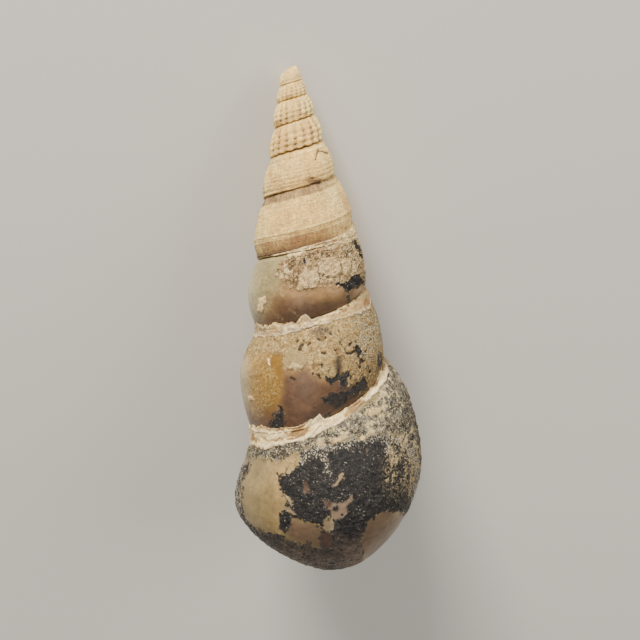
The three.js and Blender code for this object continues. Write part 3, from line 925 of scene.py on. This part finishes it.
def build_cast(name, first, last, columns, base_columns=0):
    """A stretch of the stone cast; the last whorl has a base too, and a mouth filled with stone."""
    turn = turns_between(first, last, WIDEST, FRONT_STEP, BACK_STEP)
    turn_grid, across = np.meshgrid(turn, np.linspace(0, 1, columns) ** 1.05, indexing="ij")
    radius, height = side(turn_grid, across)
    if base_columns:
        late, share = np.meshgrid(turn, np.linspace(0, 1, base_columns + 1)[1:], indexing="ij")
        base_radius, base_height = base(np.maximum(late, LAST_TURN), share)
        radius = np.concatenate([radius, base_radius], 1)
        height = np.concatenate([height, base_height], 1)
        turn_grid = np.broadcast_to(turn[:, None], radius.shape)
    points = round_axis(turn_grid, radius, height)
    normal = grid_normals(points)
    run = arc_lengths(points)
    fields, relief = cast_fields(turn_grid, radius, height, points)
    relief -= 0.3 * hump(run, 0.3)
    # painted shade along the upper suture of the cast
    fields["suture_shade"] = hump(run, 0.35)
    if base_columns:
        relief -= 0.04 * soft(LAST_TURN - turn_grid, 0, 0.008)
        last_y = PILLAR_FOOT + 0 * turn
    else:
        left = run[:, -1:] - run
        relief -= 0.09 * hump(left, 0.25)
        relief -= 0.22 * (1 - soft(turn_grid, SHELL_END - 0.02, SHELL_END + 0.01))
        relief -= 0.06 * soft(turn_grid, LAST_TURN, LAST_TURN + 0.01)
        # and painted shade along the lower suture
        fields["suture_shade"] = fields["suture_shade"] + hump(left, 0.3)
        last_y = height[:, -1] - TUCK_DOWN
    points = points + normal * relief[..., None]
    ends = (CORE_RADIUS, reading(SPIRAL, SUTURE, turn) + TUCK_UP), (CORE_RADIUS, last_y)
    section = inside_columns(points, turn, *ends)
    attributes = {key: padded(values) for key, values in fields.items()}
    uv = padded(np.stack([turn_grid * TAU * 5, run], -1))
    return tube(name, section, attributes, uv, MOUTH_RINGS if base_columns else 1)


# Shell left in the sutures
PLATES = (  # turn of the point, its height in millimetres, spread before and after it in turns
    (8.262, 0.95, 0.021, 0.030),
    (9.243, 1.0, 0.012, 0.062),
    (9.05, 0.45, 0.02, 0.05),
    (9.40, 0.35, 0.01, 0.03),
    (8.02, 0.3, 0.03, 0.05),
)
LEDGE = (  # turn, height above the suture and width below it
    (6.95, 0.3, 0.9), (7.05, 0.15, 0.75), (7.15, 0.05, 0.4), (7.25, 0.02, 0.2), (7.4, 0.0, 0.08),
    (7.6, 0.0, 0.1), (7.9, 0.2, 1.35), (8.08, 0.15, 1.2), (8.18, 0.1, 0.7), (8.25, 0.1, 0.55),
    (8.35, 0.4, 0.65), (8.5, 0.55, 0.7), (8.75, 0.25, 0.7), (9.0, 0.25, 0.7), (9.15, 0.2, 0.55),
    (9.24, 0.12, 0.8), (9.3, 0.25, 1.1), (9.36, 0.4, 1.3), (9.5, 0.5, 1.6), (9.7, 0.2, 0.9),
)
# hollows under the ledge's lips, which get a painted shadow
LEDGE_HOLLOWS = (
    [(289, 434), (292, 429.5), (299, 427), (305, 428.5), (309, 431), (304, 436), (297, 438), (291, 437)],
    [(343, 418), (348, 408), (356, 402), (364, 399), (367, 403), (360, 410), (352, 414)],
)
LEDGE_FUZZ = (
    [(248, 422), (262, 425), (275, 425), (290, 424), (284, 430), (268, 435), (250, 436)],
    [(250, 318), (265, 326), (285, 328), (305, 325), (320, 321), (310, 329), (280, 334), (255, 336)],
)
LEDGE_SAND = [(325, 324), (345, 308), (358, 288), (374, 280), (380, 300), (362, 316), (345, 326)]
LEDGE_THICKNESS = 0.17
LEDGE_STEPS = (0.06, 0.14)
FACE_COLUMNS = 22
WALL_COLUMNS = 8


def ledge_edges(turn):
    """Height of the ledge above its suture and its width below it, both ragged."""
    t, tall, wide = (np.array(c) for c in zip(*LEDGE))
    along = np.stack([turn * 34, 0 * turn, 0 * turn], -1)
    ragged = noises(along, (0.5, 0.6, 7), (0.4, 1.7, 8), (0.35, 4.0, 9))
    other = noises(along, (0.5, 0.8, 17), (0.4, 2.1, 18), (0.3, 5.0, 19))
    height = np.interp(turn, t, tall) * (1 + 0.8 * ragged) + 0.03 * noise(along, 3.1, 11)
    missing = soft(np.sin(TAU * turn), 0.2, -0.3) * soft(noise(along, 0.5, 13), 0.0, 0.35)
    height = height * (1 - missing)
    for point, peak, before, after in PLATES:
        rise = np.where(turn < point, 1 - (point - turn) / before, 1 - (turn - point) / after)
        height = np.maximum(height, peak * np.clip(rise, 0, 1))
    wide = np.interp(turn, t, wide) * (1 + 0.22 * other) + 0.02 * noise(along, 3.7, 12)
    return height, np.maximum(0.05, wide * (1 - 0.85 * missing))


def run_down(radius, height):
    """Distance down each row of a section from its first point."""
    steps = np.hypot(np.diff(radius), np.diff(height))
    return np.cumsum(np.concatenate([np.zeros((len(steps), 1)), steps], 1), 1)


def ledge_section(turn, tall, wide, thick):
    """Radii and heights of a strip that stands up at the suture and lies on the shoulder."""
    r, y = side(*np.meshgrid(turn, np.linspace(0, 0.5, 60), indexing="ij"))
    run = run_down(r, y)
    share = np.linspace(0, 1, FACE_COLUMNS)
    reach = share[None] * wide[:, None]
    rows = range(len(turn))
    skin_r = np.stack([np.interp(reach[i], run[i], r[i]) for i in rows])
    skin_y = np.stack([np.interp(reach[i], run[i], y[i]) for i in rows])
    down_r, down_y = np.gradient(skin_r, axis=1), np.gradient(skin_y, axis=1)
    length = np.maximum(np.hypot(down_r, down_y), 1e-6)
    out_r, out_y = -down_y / length, down_r / length
    lift = thick[:, None] * (1 - 0.88 * share**2)
    stand = np.linspace(1, 0, WALL_COLUMNS)[None]
    wall_r = skin_r[:, :1] + 0.02 + thick[:, None] * (0.95 - 0.1 * stand)
    wall_y = skin_y[:, :1] + tall[:, None] * stand
    columns = (
        (skin_r[:, :1] - 0.5, skin_y[:, :1] - 0.3),
        (wall_r[:, :1] - 0.8 * thick[:, None], wall_y[:, :1] + 0.03),
        (wall_r, wall_y),
        (skin_r + out_r * lift, skin_y + out_y * lift),
        (skin_r[:, -1:] - 0.12 * out_r[:, -1:], skin_y[:, -1:] - 0.12 * out_y[:, -1:]),
    )
    return [np.concatenate(part, 1) for part in zip(*columns)]


def build_ledge(name, first, last):
    """A strip of shell left in a suture, against the whorl above it."""
    turn = turns_between(first, last, SUTURE_RADIUS, *LEDGE_STEPS)
    tall, wide = ledge_edges(turn)
    end = soft(turn, first, first + 0.02) * (1 - soft(turn, last - 0.02, last))
    thick = LEDGE_THICKNESS * (0.3 + 0.7 * end) * soft(wide, 0.05, 0.3)
    radius, height = ledge_section(turn, tall, wide, thick)
    turn_grid = np.broadcast_to(turn[:, None], radius.shape)
    points = round_axis(turn_grid, radius, height)
    normal = grid_normals(points)
    down = run_down(radius, height)
    share = down / down[:, -1:]
    leaf = noises(np.stack([turn_grid * TAU * 4, down * 5, 0 * down], -1), (0.6, 0.8, 104), (0.4, 1.9, 105))
    grit = noises(points, (0.5, 3.1, 101), (0.4, 6.3, 102), (0.3, 12, 103))
    u, v, _ = spread_out(turn_grid, radius, height)
    hollow = soft(widest(LEDGE_HOLLOWS, u + 0.6 * grit, v + 0.6 * grit), -1, 1.2)
    lines = hump(share - 0.5, 0.05) + hump(share - 0.9, 0.05)
    lines = lines - 0.8 * hump(share - 0.42, 0.05)
    crumbly = 1 - soft(turn_grid, 8.7, 8.85)
    relief = 0.05 * leaf + (0.026 + 0.03 * crumbly) * grit - 0.09 * hollow + 0.04 * lines
    relief[:, 0] = 0
    points = points + normal * (relief * (0.3 + 0.7 * soft(thick, 0, 0.15)[:, None]))[..., None]

    fuzz = (0.1 + 0.7 * crumbly) * soft(widest(LEDGE_FUZZ, u, v), -1, 2) * soft(grit, -0.6, 0.1)
    grey = np.clip(0.12 * soft(noise(points, 0.9, 111) + 0.5 * grit, 0, 0.6) + fuzz, 0, 1)
    # painted shade: browner and darker in the low places of the ledge's relief
    low_places = soft(-leaf - 0.6 * grit - 0.5 * lines, 0.15, 0.8)
    skin = painted(CREAM, [
        (BEIGE, soft(-leaf, -0.3, 0.35)),
        (GREY_BAND, grey),
        (TAN, 0.6 * soft(noise(points, 1.7, 113), 0, 0.8)),
        (SAND, 0.6 * crumbly * soft(noise(points, 2.6, 114) + 0.6 * grit, -0.1, 0.5)),
        (SAND, 0.85 * soft(area(LEDGE_SAND, u, v), -3, 2)),
        (TAN_BROWN, 0.8 * low_places),
        # painted highlight along the raised lines of the ledge
        (WHITE, 0.6 * np.clip(lines, 0, 1) * soft(grit, -0.5, 0.1)),
        (TAN_BROWN, 0.45 * soft(-leaf, 0.12, 0.5)),
        # painted shadow in the ledge's hollows
        (HOLLOW_SHADOW_BROWN, 0.85 * hollow),
        (CRUMB_BROWN, 0.6 * crumbly * soft(grit + 0.4 * leaf, -0.3, 0.4)),
    ])
    # dark is painted shade in the ledge's low places
    attributes = {"skin": skin, "dark": 0.35 * low_places, "lines": 0 * u, "growth_lines": 0 * u}
    return tube(name, points, attributes, np.stack([turn_grid * TAU * 5, down], -1))


# Materials
class Nodes:
    """Builds one material's node tree with short calls."""

    def __init__(self, name):
        self.material = bpy.data.materials.new(name)
        self.material.use_nodes = True
        self.tree = self.material.node_tree
        self.tree.nodes.clear()
        output = self.tree.nodes.new("ShaderNodeOutputMaterial")
        self.surface = self.tree.nodes.new("ShaderNodeBsdfPrincipled")
        self.tree.links.new(self.surface.outputs[0], output.inputs[0])
        self.coordinates = self.tree.nodes.new("ShaderNodeTexCoord").outputs["Object"]

    def fill(self, node, inputs):
        """Links a node's inputs to sockets, or sets them to numbers or colours."""
        for key, value in inputs.items():
            if isinstance(value, bpy.types.NodeSocket):
                self.tree.links.new(value, node.inputs[key])
            elif isinstance(value, np.ndarray):
                node.inputs[key].default_value = (*value, 1)
            elif value is not None:
                node.inputs[key].default_value = value
        return node

    def add(self, kind, inputs):
        return self.fill(self.tree.nodes.new(kind), inputs)

    def finish(self, inputs):
        self.fill(self.surface, inputs)
        return self.material

    def attribute(self, name, output):
        node = self.tree.nodes.new("ShaderNodeAttribute")
        node.attribute_name = name
        return node.outputs[output]

    def value(self, name):
        return self.attribute(name, "Fac")

    def paint(self, name):
        return self.attribute(name, "Color")

    def noise(self, per_mm, detail, rough):
        settings = {"Scale": per_mm * 1000, "Detail": detail, "Roughness": rough}
        return self.add("ShaderNodeTexNoise", {"Vector": self.coordinates, **settings}).outputs["Fac"]

    def streaks(self, along, across):
        """Noise drawn out along or across the whorls, by its frequency in each direction."""
        uv = self.tree.nodes.new("ShaderNodeUVMap").outputs[0]
        mapping = self.add("ShaderNodeMapping", {"Vector": uv, "Scale": (along, across, 1)})
        inputs = {"Vector": mapping.outputs[0], "Scale": 1, "Detail": 3}
        return self.add("ShaderNodeTexNoise", inputs).outputs["Fac"]

    def cells(self, per_mm):
        inputs = {"Vector": self.coordinates, "Scale": per_mm * 1000}
        return self.add("ShaderNodeTexVoronoi", inputs).outputs["Distance"]

    def math(self, operation, *values):
        node = self.add("ShaderNodeMath", dict(enumerate(values)))
        node.operation = operation
        return node.outputs[0]

    def plus(self, a, b):
        return self.math("ADD", a, b)

    def minus(self, a, b):
        return self.math("SUBTRACT", a, b)

    def times(self, a, b):
        return self.math("MULTIPLY", a, b)

    def greater(self, a, b):
        return self.math("MAXIMUM", a, b)

    def times_plus(self, a, b, c):
        return self.math("MULTIPLY_ADD", a, b, c)

    def step(self, value, low, high, first=0.0, last=1.0):
        limits = {"From Min": low, "From Max": high, "To Min": first, "To Max": last}
        node = self.add("ShaderNodeMapRange", {"Value": value, **limits})
        node.interpolation_type = "SMOOTHSTEP"
        return node.outputs["Result"]

    def contour(self, value, low, high):
        """Thin lines where a noise crosses its middle."""
        return self.step(self.math("ABSOLUTE", self.minus(value, 0.5)), low, high)

    def blend(self, share, a, b):
        return self.add("ShaderNodeMix", {0: share, 2: a, 3: b}).outputs[0]

    def mix(self, share, a, b, blend_type="MIX"):
        node = self.tree.nodes.new("ShaderNodeMix")
        node.data_type = "RGBA"
        node.blend_type = blend_type
        return self.fill(node, {0: share, 6: a, 7: b}).outputs[2]

    def toned(self, paint, value, low, high, dark, light):
        """A paint made darker where a value is low and lighter where it is high."""
        return self.mix(1.0, paint, self.step(value, low, high, dark, light), "MULTIPLY")

    def flecks(self, ground, paint, value, low, high, share):
        """A paint laid on a ground where a value passes from low to high."""
        return self.mix(self.times(self.step(value, low, high), share), ground, paint)

    def bump(self, height, millimetres, normal=None):
        inputs = {"Strength": 1, "Distance": millimetres / 1000, "Height": height, "Normal": normal}
        return self.add("ShaderNodeBump", inputs).outputs["Normal"]


def shell_material():
    """Worn shell, for the spire and for what is left in the sutures."""
    n = Nodes("worn_shell")
    grain = n.noise(6.5, 6, 0.72)
    coarse = n.noise(1.9, 5, 0.65)
    tiny = n.noise(15, 3, 0.6)
    lines = n.streaks(0.9, 8.0)
    growth = n.streaks(7.0, 1.2)
    pits = n.step(n.cells(4.6), 0.05, 0.32)
    paint = n.toned(n.paint("skin"), coarse, 0.32, 0.68, 0.82, 1.14)
    paint = n.toned(paint, grain, 0.34, 0.66, 0.7, 1.26)
    paint = n.toned(paint, tiny, 0.34, 0.66, 0.84, 1.14)
    paint = n.flecks(paint, colour(120, 88, 58), tiny, 0.6, 0.68, 0.6)
    line_share = n.times(n.value("lines"), n.step(lines, 0.4, 0.62))
    paint = n.mix(n.times(line_share, 0.34), paint, colour(140, 108, 72))
    growth_share = n.times(n.value("growth_lines"), n.step(growth, 0.42, 0.6))
    paint = n.mix(n.times(growth_share, 0.4), paint, colour(110, 82, 58))
    # painted shade in the small dimples of the pits
    paint = n.flecks(paint, colour(116, 86, 58), pits, 1, 0, 0.35)
    # painted shade from the dark attribute, with random tone from the grain noise
    dark = n.plus(n.value("dark"), n.step(grain, 0.3, 0.7, -0.28, 0.28))
    paint = n.flecks(paint, colour(84, 62, 44), dark, 0.15, 0.8, 0.85)
    normal = n.bump(grain, 0.09)
    normal = n.bump(tiny, 0.03, normal)
    normal = n.bump(pits, 0.03, normal)
    normal = n.bump(n.times(lines, n.value("lines")), 0.045, normal)
    normal = n.bump(n.times(growth, n.value("growth_lines")), 0.05, normal)
    return n.finish({
        "Base Color": paint,
        "Roughness": 0.82,
        "Specular IOR Level": 0.3,
        "Subsurface Weight": 0.08,
        "Subsurface Radius": (1.0, 0.6, 0.35),
        "Subsurface Scale": 0.0003,
        "Normal": normal,
    })


class CastNodes(Nodes):
    """The cast's nodes, with the noises that all its layers share."""

    def __init__(self):
        super().__init__("agate_cast")
        self.coarse = self.noise(2.2, 5, 0.65)
        self.fine = self.noise(5.5, 5, 0.68)
        self.finer = self.noise(12, 4, 0.62)
        self.tiny = self.noise(9.3, 2, 0.5)
        self.crumb = self.noise(3.9, 3, 0.6)
        self.shake = self.times_plus(self.fine, 0.55, self.times_plus(self.finer, 0.4, -0.475))

    def patch(self, name, low=-0.03, high=0.05, shaken=1.0):
        """The share of a patch, with an edge that noise makes ragged."""
        return self.step(self.times_plus(self.shake, shaken, self.value(name)), low, high)


def agate_paint(n):
    """Bare agate, with a fine lace in its amber zone."""
    paint = n.toned(n.paint("agate"), n.coarse, 0.3, 0.7, 0.84, 1.14)
    paint = n.toned(paint, n.fine, 0.3, 0.7, 0.92, 1.08)
    curls = n.times(n.contour(n.noise(3.2, 2, 0.5), 0.06, 0.015), n.step(n.fine, 0.38, 0.6))
    lace = n.times(n.greater(curls, n.step(n.finer, 0.57, 0.64)), n.step(n.value("mottle"), -0.1, 0.25))
    return n.mix(n.times(lace, 0.5), paint, colour(216, 194, 138))


def sand_paint(n):
    """Sandy crust, with dark freckles and a scrawl of black."""
    paint = n.mix(n.step(n.coarse, 0.35, 0.65), colour(174, 137, 80), colour(210, 182, 124))
    paint = n.toned(paint, n.fine, 0.32, 0.66, 0.6, 1.18)
    paint = n.toned(paint, n.crumb, 0.34, 0.64, 0.72, 1.2)
    paint = n.flecks(paint, colour(88, 66, 46), n.crumb, 0.4, 0.35, 0.6)
    paint = n.flecks(paint, colour(98, 74, 50), n.finer, 0.57, 0.64, 0.75)
    paint = n.flecks(paint, colour(234, 208, 152), n.tiny, 0.6, 0.68, 0.8)
    glow = n.times(n.step(n.coarse, 0.42, 0.54), n.value("glow"))
    paint = n.mix(n.times(glow, 0.75), paint, colour(228, 212, 168))
    freckles = n.step(n.plus(n.finer, n.times(n.coarse, 0.5)), 0.74, 0.8)
    paint = n.mix(n.times(n.times(freckles, n.value("moss")), 0.85), paint, colour(66, 56, 46))
    scrawl = n.blend(n.contour(n.noise(5.0, 2, 0.5), 0.06, 0.02), 0.45, 1.0)
    return n.mix(n.times(n.value("scrawl"), scrawl), paint, colour(78, 70, 64))


def flaky_paint(n):
    """The cracked crust on the upper cast whorl."""
    tint = n.value("tint")
    paint = n.mix(n.step(tint, 0.1, 0.5), colour(184, 146, 96), colour(224, 190, 136))
    paint = n.mix(n.step(tint, 0.6, 0.9), paint, colour(246, 216, 162))
    paint = n.toned(paint, n.fine, 0.32, 0.66, 0.66, 1.2)
    paint = n.toned(paint, n.crumb, 0.34, 0.62, 0.66, 1.22)
    paint = n.flecks(paint, colour(104, 84, 56), n.crumb, 0.41, 0.36, 0.65)
    paint = n.flecks(paint, colour(96, 74, 54), n.finer, 0.54, 0.6, 0.75)
    seams = n.times(n.contour(n.fine, 0.034, 0.01), n.step(n.coarse, 0.4, 0.58))
    paint = n.mix(n.times(seams, 0.85), paint, colour(66, 52, 40))
    return n.flecks(paint, colour(78, 62, 46), n.value("crack"), 0.2, 0.75, 0.9)


def crust_paint(n):
    """Black mineral with pale grains, haze low down and golden specks on the right."""
    paint = n.mix(n.step(n.coarse, 0.4, 0.62), colour(20, 19, 22), colour(46, 41, 40))
    paint = n.toned(paint, n.fine, 0.32, 0.68, 0.7, 1.35)
    specks = n.value("specks")
    clusters = n.plus(specks, n.times_plus(n.coarse, 1.8, -0.95))
    grains = n.minus(n.noise(7.5, 3, 0.65), n.step(clusters, 0, 1, 0.65, 0.51))
    pale = n.mix(n.step(n.tiny, 0.35, 0.6), colour(168, 150, 120), colour(242, 234, 214))
    paint = n.flecks(paint, pale, grains, 0.0, 0.03, 0.85)
    haze = n.times(n.step(n.finer, 0.54, 0.64), n.step(specks, 0.1, 1.0, 0.0, 0.35))
    paint = n.mix(haze, paint, colour(118, 108, 94))
    smoke = n.step(n.plus(n.coarse, n.times(n.fine, 0.5)), 0.55, 0.8)
    paint = n.mix(n.times(n.times(smoke, n.value("smoke")), 0.9), paint, colour(150, 130, 112))
    gilt = n.times(n.step(n.noise(5.4, 4, 0.62), 0.55, 0.59), n.value("gilt"))
    gold = n.mix(n.tiny, colour(150, 126, 84), colour(236, 214, 166))
    return n.mix(n.times(gilt, 0.85), paint, gold)


def grain_paint(n):
    """The speckled shoulder of the last whorl."""
    middle = n.times_plus(n.value("dusk"), 0.3, 0.5)
    broad = n.times(n.minus(n.noise(0.9, 2, 0.5), middle), 0.4)
    knots = n.plus(n.noise(2.3, 5, 0.72), broad)
    paint = n.mix(n.step(knots, 0.44, 0.5), colour(44, 39, 37), colour(122, 114, 98))
    paint = n.mix(n.step(knots, 0.535, 0.575), paint, colour(234, 210, 154))
    paint = n.flecks(paint, colour(244, 228, 180), n.tiny, 0.58, 0.63, 0.8)
    paint = n.flecks(paint, colour(76, 68, 58), n.tiny, 0.41, 0.37, 0.7)
    return n.flecks(paint, colour(124, 122, 118), n.coarse, 0.5, 0.6, 0.6)


def cast_material():
    n = CastNodes()
    sand, rough, crust = n.patch("sand"), n.patch("rough"), n.patch("crust")
    grain = n.patch("grain", -0.16, 0.16, 2.4)
    shell = n.patch("shell", -0.03, 0.03, 0.35)
    veins = n.patch("veins", -0.04, 0.03, 0.8)
    # painted shade in the sutures, broken up by noise
    suture_shade = n.times(n.step(n.value("suture_shade"), 0.15, 0.9), n.step(n.fine, 0.3, 0.6))
    stuck = n.mix(n.step(n.fine, 0.4, 0.65), colour(192, 168, 116), colour(160, 134, 88))
    flake = n.mix(n.step(n.finer, 0.42, 0.6), colour(242, 212, 158), colour(196, 160, 110))
    layers = (
        (sand, sand_paint(n)),
        (rough, flaky_paint(n)),
        (n.times(n.patch("patch", -0.03, 0.04, 0.4), 0.8), stuck),
        (n.times(n.value("blot"), 0.9), colour(54, 44, 38)),
        (crust, crust_paint(n)),
        # painted shade in the pits
        (n.times(n.patch("pits", -0.02, 0.05, 0.3), 0.9), colour(46, 38, 34)),
        (n.times(grain, 0.95), grain_paint(n)),
        (shell, n.toned(flake, n.crumb, 0.34, 0.6, 0.76, 1.14)),
        (n.times(veins, 0.9), n.mix(n.step(n.finer, 0.4, 0.6), SAND, SAND_PALE)),
        # painted shade in the sutures
        (n.times(suture_shade, 0.7), colour(80, 68, 54)),
    )
    paint = agate_paint(n)
    for share, layer in layers:
        paint = n.mix(share, paint, layer)

    roughness = n.blend(sand, 0.3, 0.85)
    roughness = n.blend(crust, roughness, n.step(n.finer, 0.35, 0.65, 0.25, 0.55))
    for cover in (rough, grain, shell, veins, suture_shade):
        roughness = n.blend(cover, roughness, 0.85)
    covered = n.greater(n.greater(sand, crust), n.greater(grain, rough))
    depth = n.blend(covered, 0.06, 1.4)
    normal = n.bump(n.times(n.minus(n.fine, 0.5), depth), 0.2)
    normal = n.bump(n.times(n.minus(n.finer, 0.5), depth), 0.1, normal)
    return n.finish({
        "Base Color": paint,
        "Roughness": roughness,
        "Specular IOR Level": 0.5,
        "Subsurface Weight": n.blend(covered, 0.4, 0.02),
        "Subsurface Radius": (1.0, 0.55, 0.25),
        "Subsurface Scale": 0.0006,
        "Normal": normal,
    })


def floor_material():
    n = Nodes("pale_floor")
    paint = np.array([0.62, 0.6, 0.57])
    return n.finish({"Base Color": n.mix(n.noise(0.02, 2, 0.5), paint * 0.97, paint), "Roughness": 0.8})


# Pieces
LAP = 0.05  # in turns, by which the upper cast goes on under the last whorl
upper_columns = 84
side_columns, base_columns = ((120, 62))
spire = build_spire()
upper_cast = build_cast("cast_whorls", CAST_START, LAST_TURN + LAP, upper_columns)
lower_cast = build_cast("last_whorl", LAST_TURN - 0.01, MOUTH_TURN, side_columns, base_columns)
ledge_top = build_ledge("ledge_upper", 6.95, 8.8)
ledge_low = build_ledge("ledge_lower", 8.78, 9.72)

shell_look = shell_material()
cast_look = cast_material()
for piece, look, slot in (
    (spire, shell_look, "fossil_shell"),
    (ledge_top, shell_look, "fossil_shell"),
    (ledge_low, shell_look, "fossil_shell"),
    (upper_cast, cast_look, "agate_cast"),
    (lower_cast, cast_look, "agate_cast"),
):
    piece.data.materials.append(look)
    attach(piece, "root")
    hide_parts("turret_shell")

# Stage
FLOOR_SIZE = 3
FLOOR_GAP = 0.0002
bpy.ops.mesh.primitive_plane_add(size=FLOOR_SIZE, location=(0, 0, -FLOOR_GAP))
floor = bpy.context.object
floor.name = "floor"
floor.data.materials.append(floor_material())


def picture_frame():
    """The camera's right, up and backward directions and its place, in the part's frame."""
    c, s = math.cos(LEAN), math.sin(LEAN)
    ce, se = math.cos(RISE), math.sin(RISE)
    right = np.array([c, -s, 0])
    up = np.array([s * ce, c * ce, -se])
    back = np.array([s * se, c * se, ce])
    stand = right * (MIDDLE - AXIS_U) / PIXELS + back * VIEW_DISTANCE
    turned = dip_matrix()
    return turned @ right, turned @ up, turned @ back, (turned @ stand + SHIFT) / 1000


right, up, back, eye = picture_frame()
lens = bpy.data.cameras.new("camera")
lens.sensor_width = SENSOR
lens.lens = SENSOR * VIEW_DISTANCE * PIXELS / PICTURE_WIDTH
lens.clip_start = 0.001
camera = bpy.data.objects.new("camera", lens)
camera_rows = np.stack([right, up, back, eye], 1).tolist()
camera.matrix_world = Matrix(camera_rows + [[0, 0, 0, 1]])
bpy.context.scene.collection.objects.link(camera)
bpy.context.scene.camera = camera


def soft_light(name, direction, distance, size, power, tint):
    """A square light that faces the shell from a direction given as right, up and back."""
    way = np.array([right, up, back]).T @ np.array(direction, float)
    way /= np.linalg.norm(way)
    data = bpy.data.lights.new(name, "AREA")
    data.shape = "SQUARE"
    data.size = size
    data.energy = power
    data.color = tint
    light = bpy.data.objects.new(name, data)
    light.location = Vector(way * distance)
    light.rotation_euler = (-light.location).to_track_quat("-Z", "Y").to_euler()
    bpy.context.scene.collection.objects.link(light)


WARM_LIGHT = (1.0, 0.95, 0.86)
soft_light("key", (-0.35, 1.0, 0.9), 0.35, 0.13, 3.15, (1.0, 0.94, 0.82))
soft_light("fill", (1.0, 0.15, 0.7), 0.4, 0.25, 0.9, WARM_LIGHT)
soft_light("front", (-0.3, -0.5, 1.2), 0.45, 0.3, 0.4, WARM_LIGHT)

world = bpy.data.worlds.new("studio")
world.use_nodes = True
world.node_tree.nodes["Background"].inputs[0].default_value = (1.0, 0.98, 0.95, 1)
world.node_tree.nodes["Background"].inputs[1].default_value = 0.28
bpy.context.scene.world = world
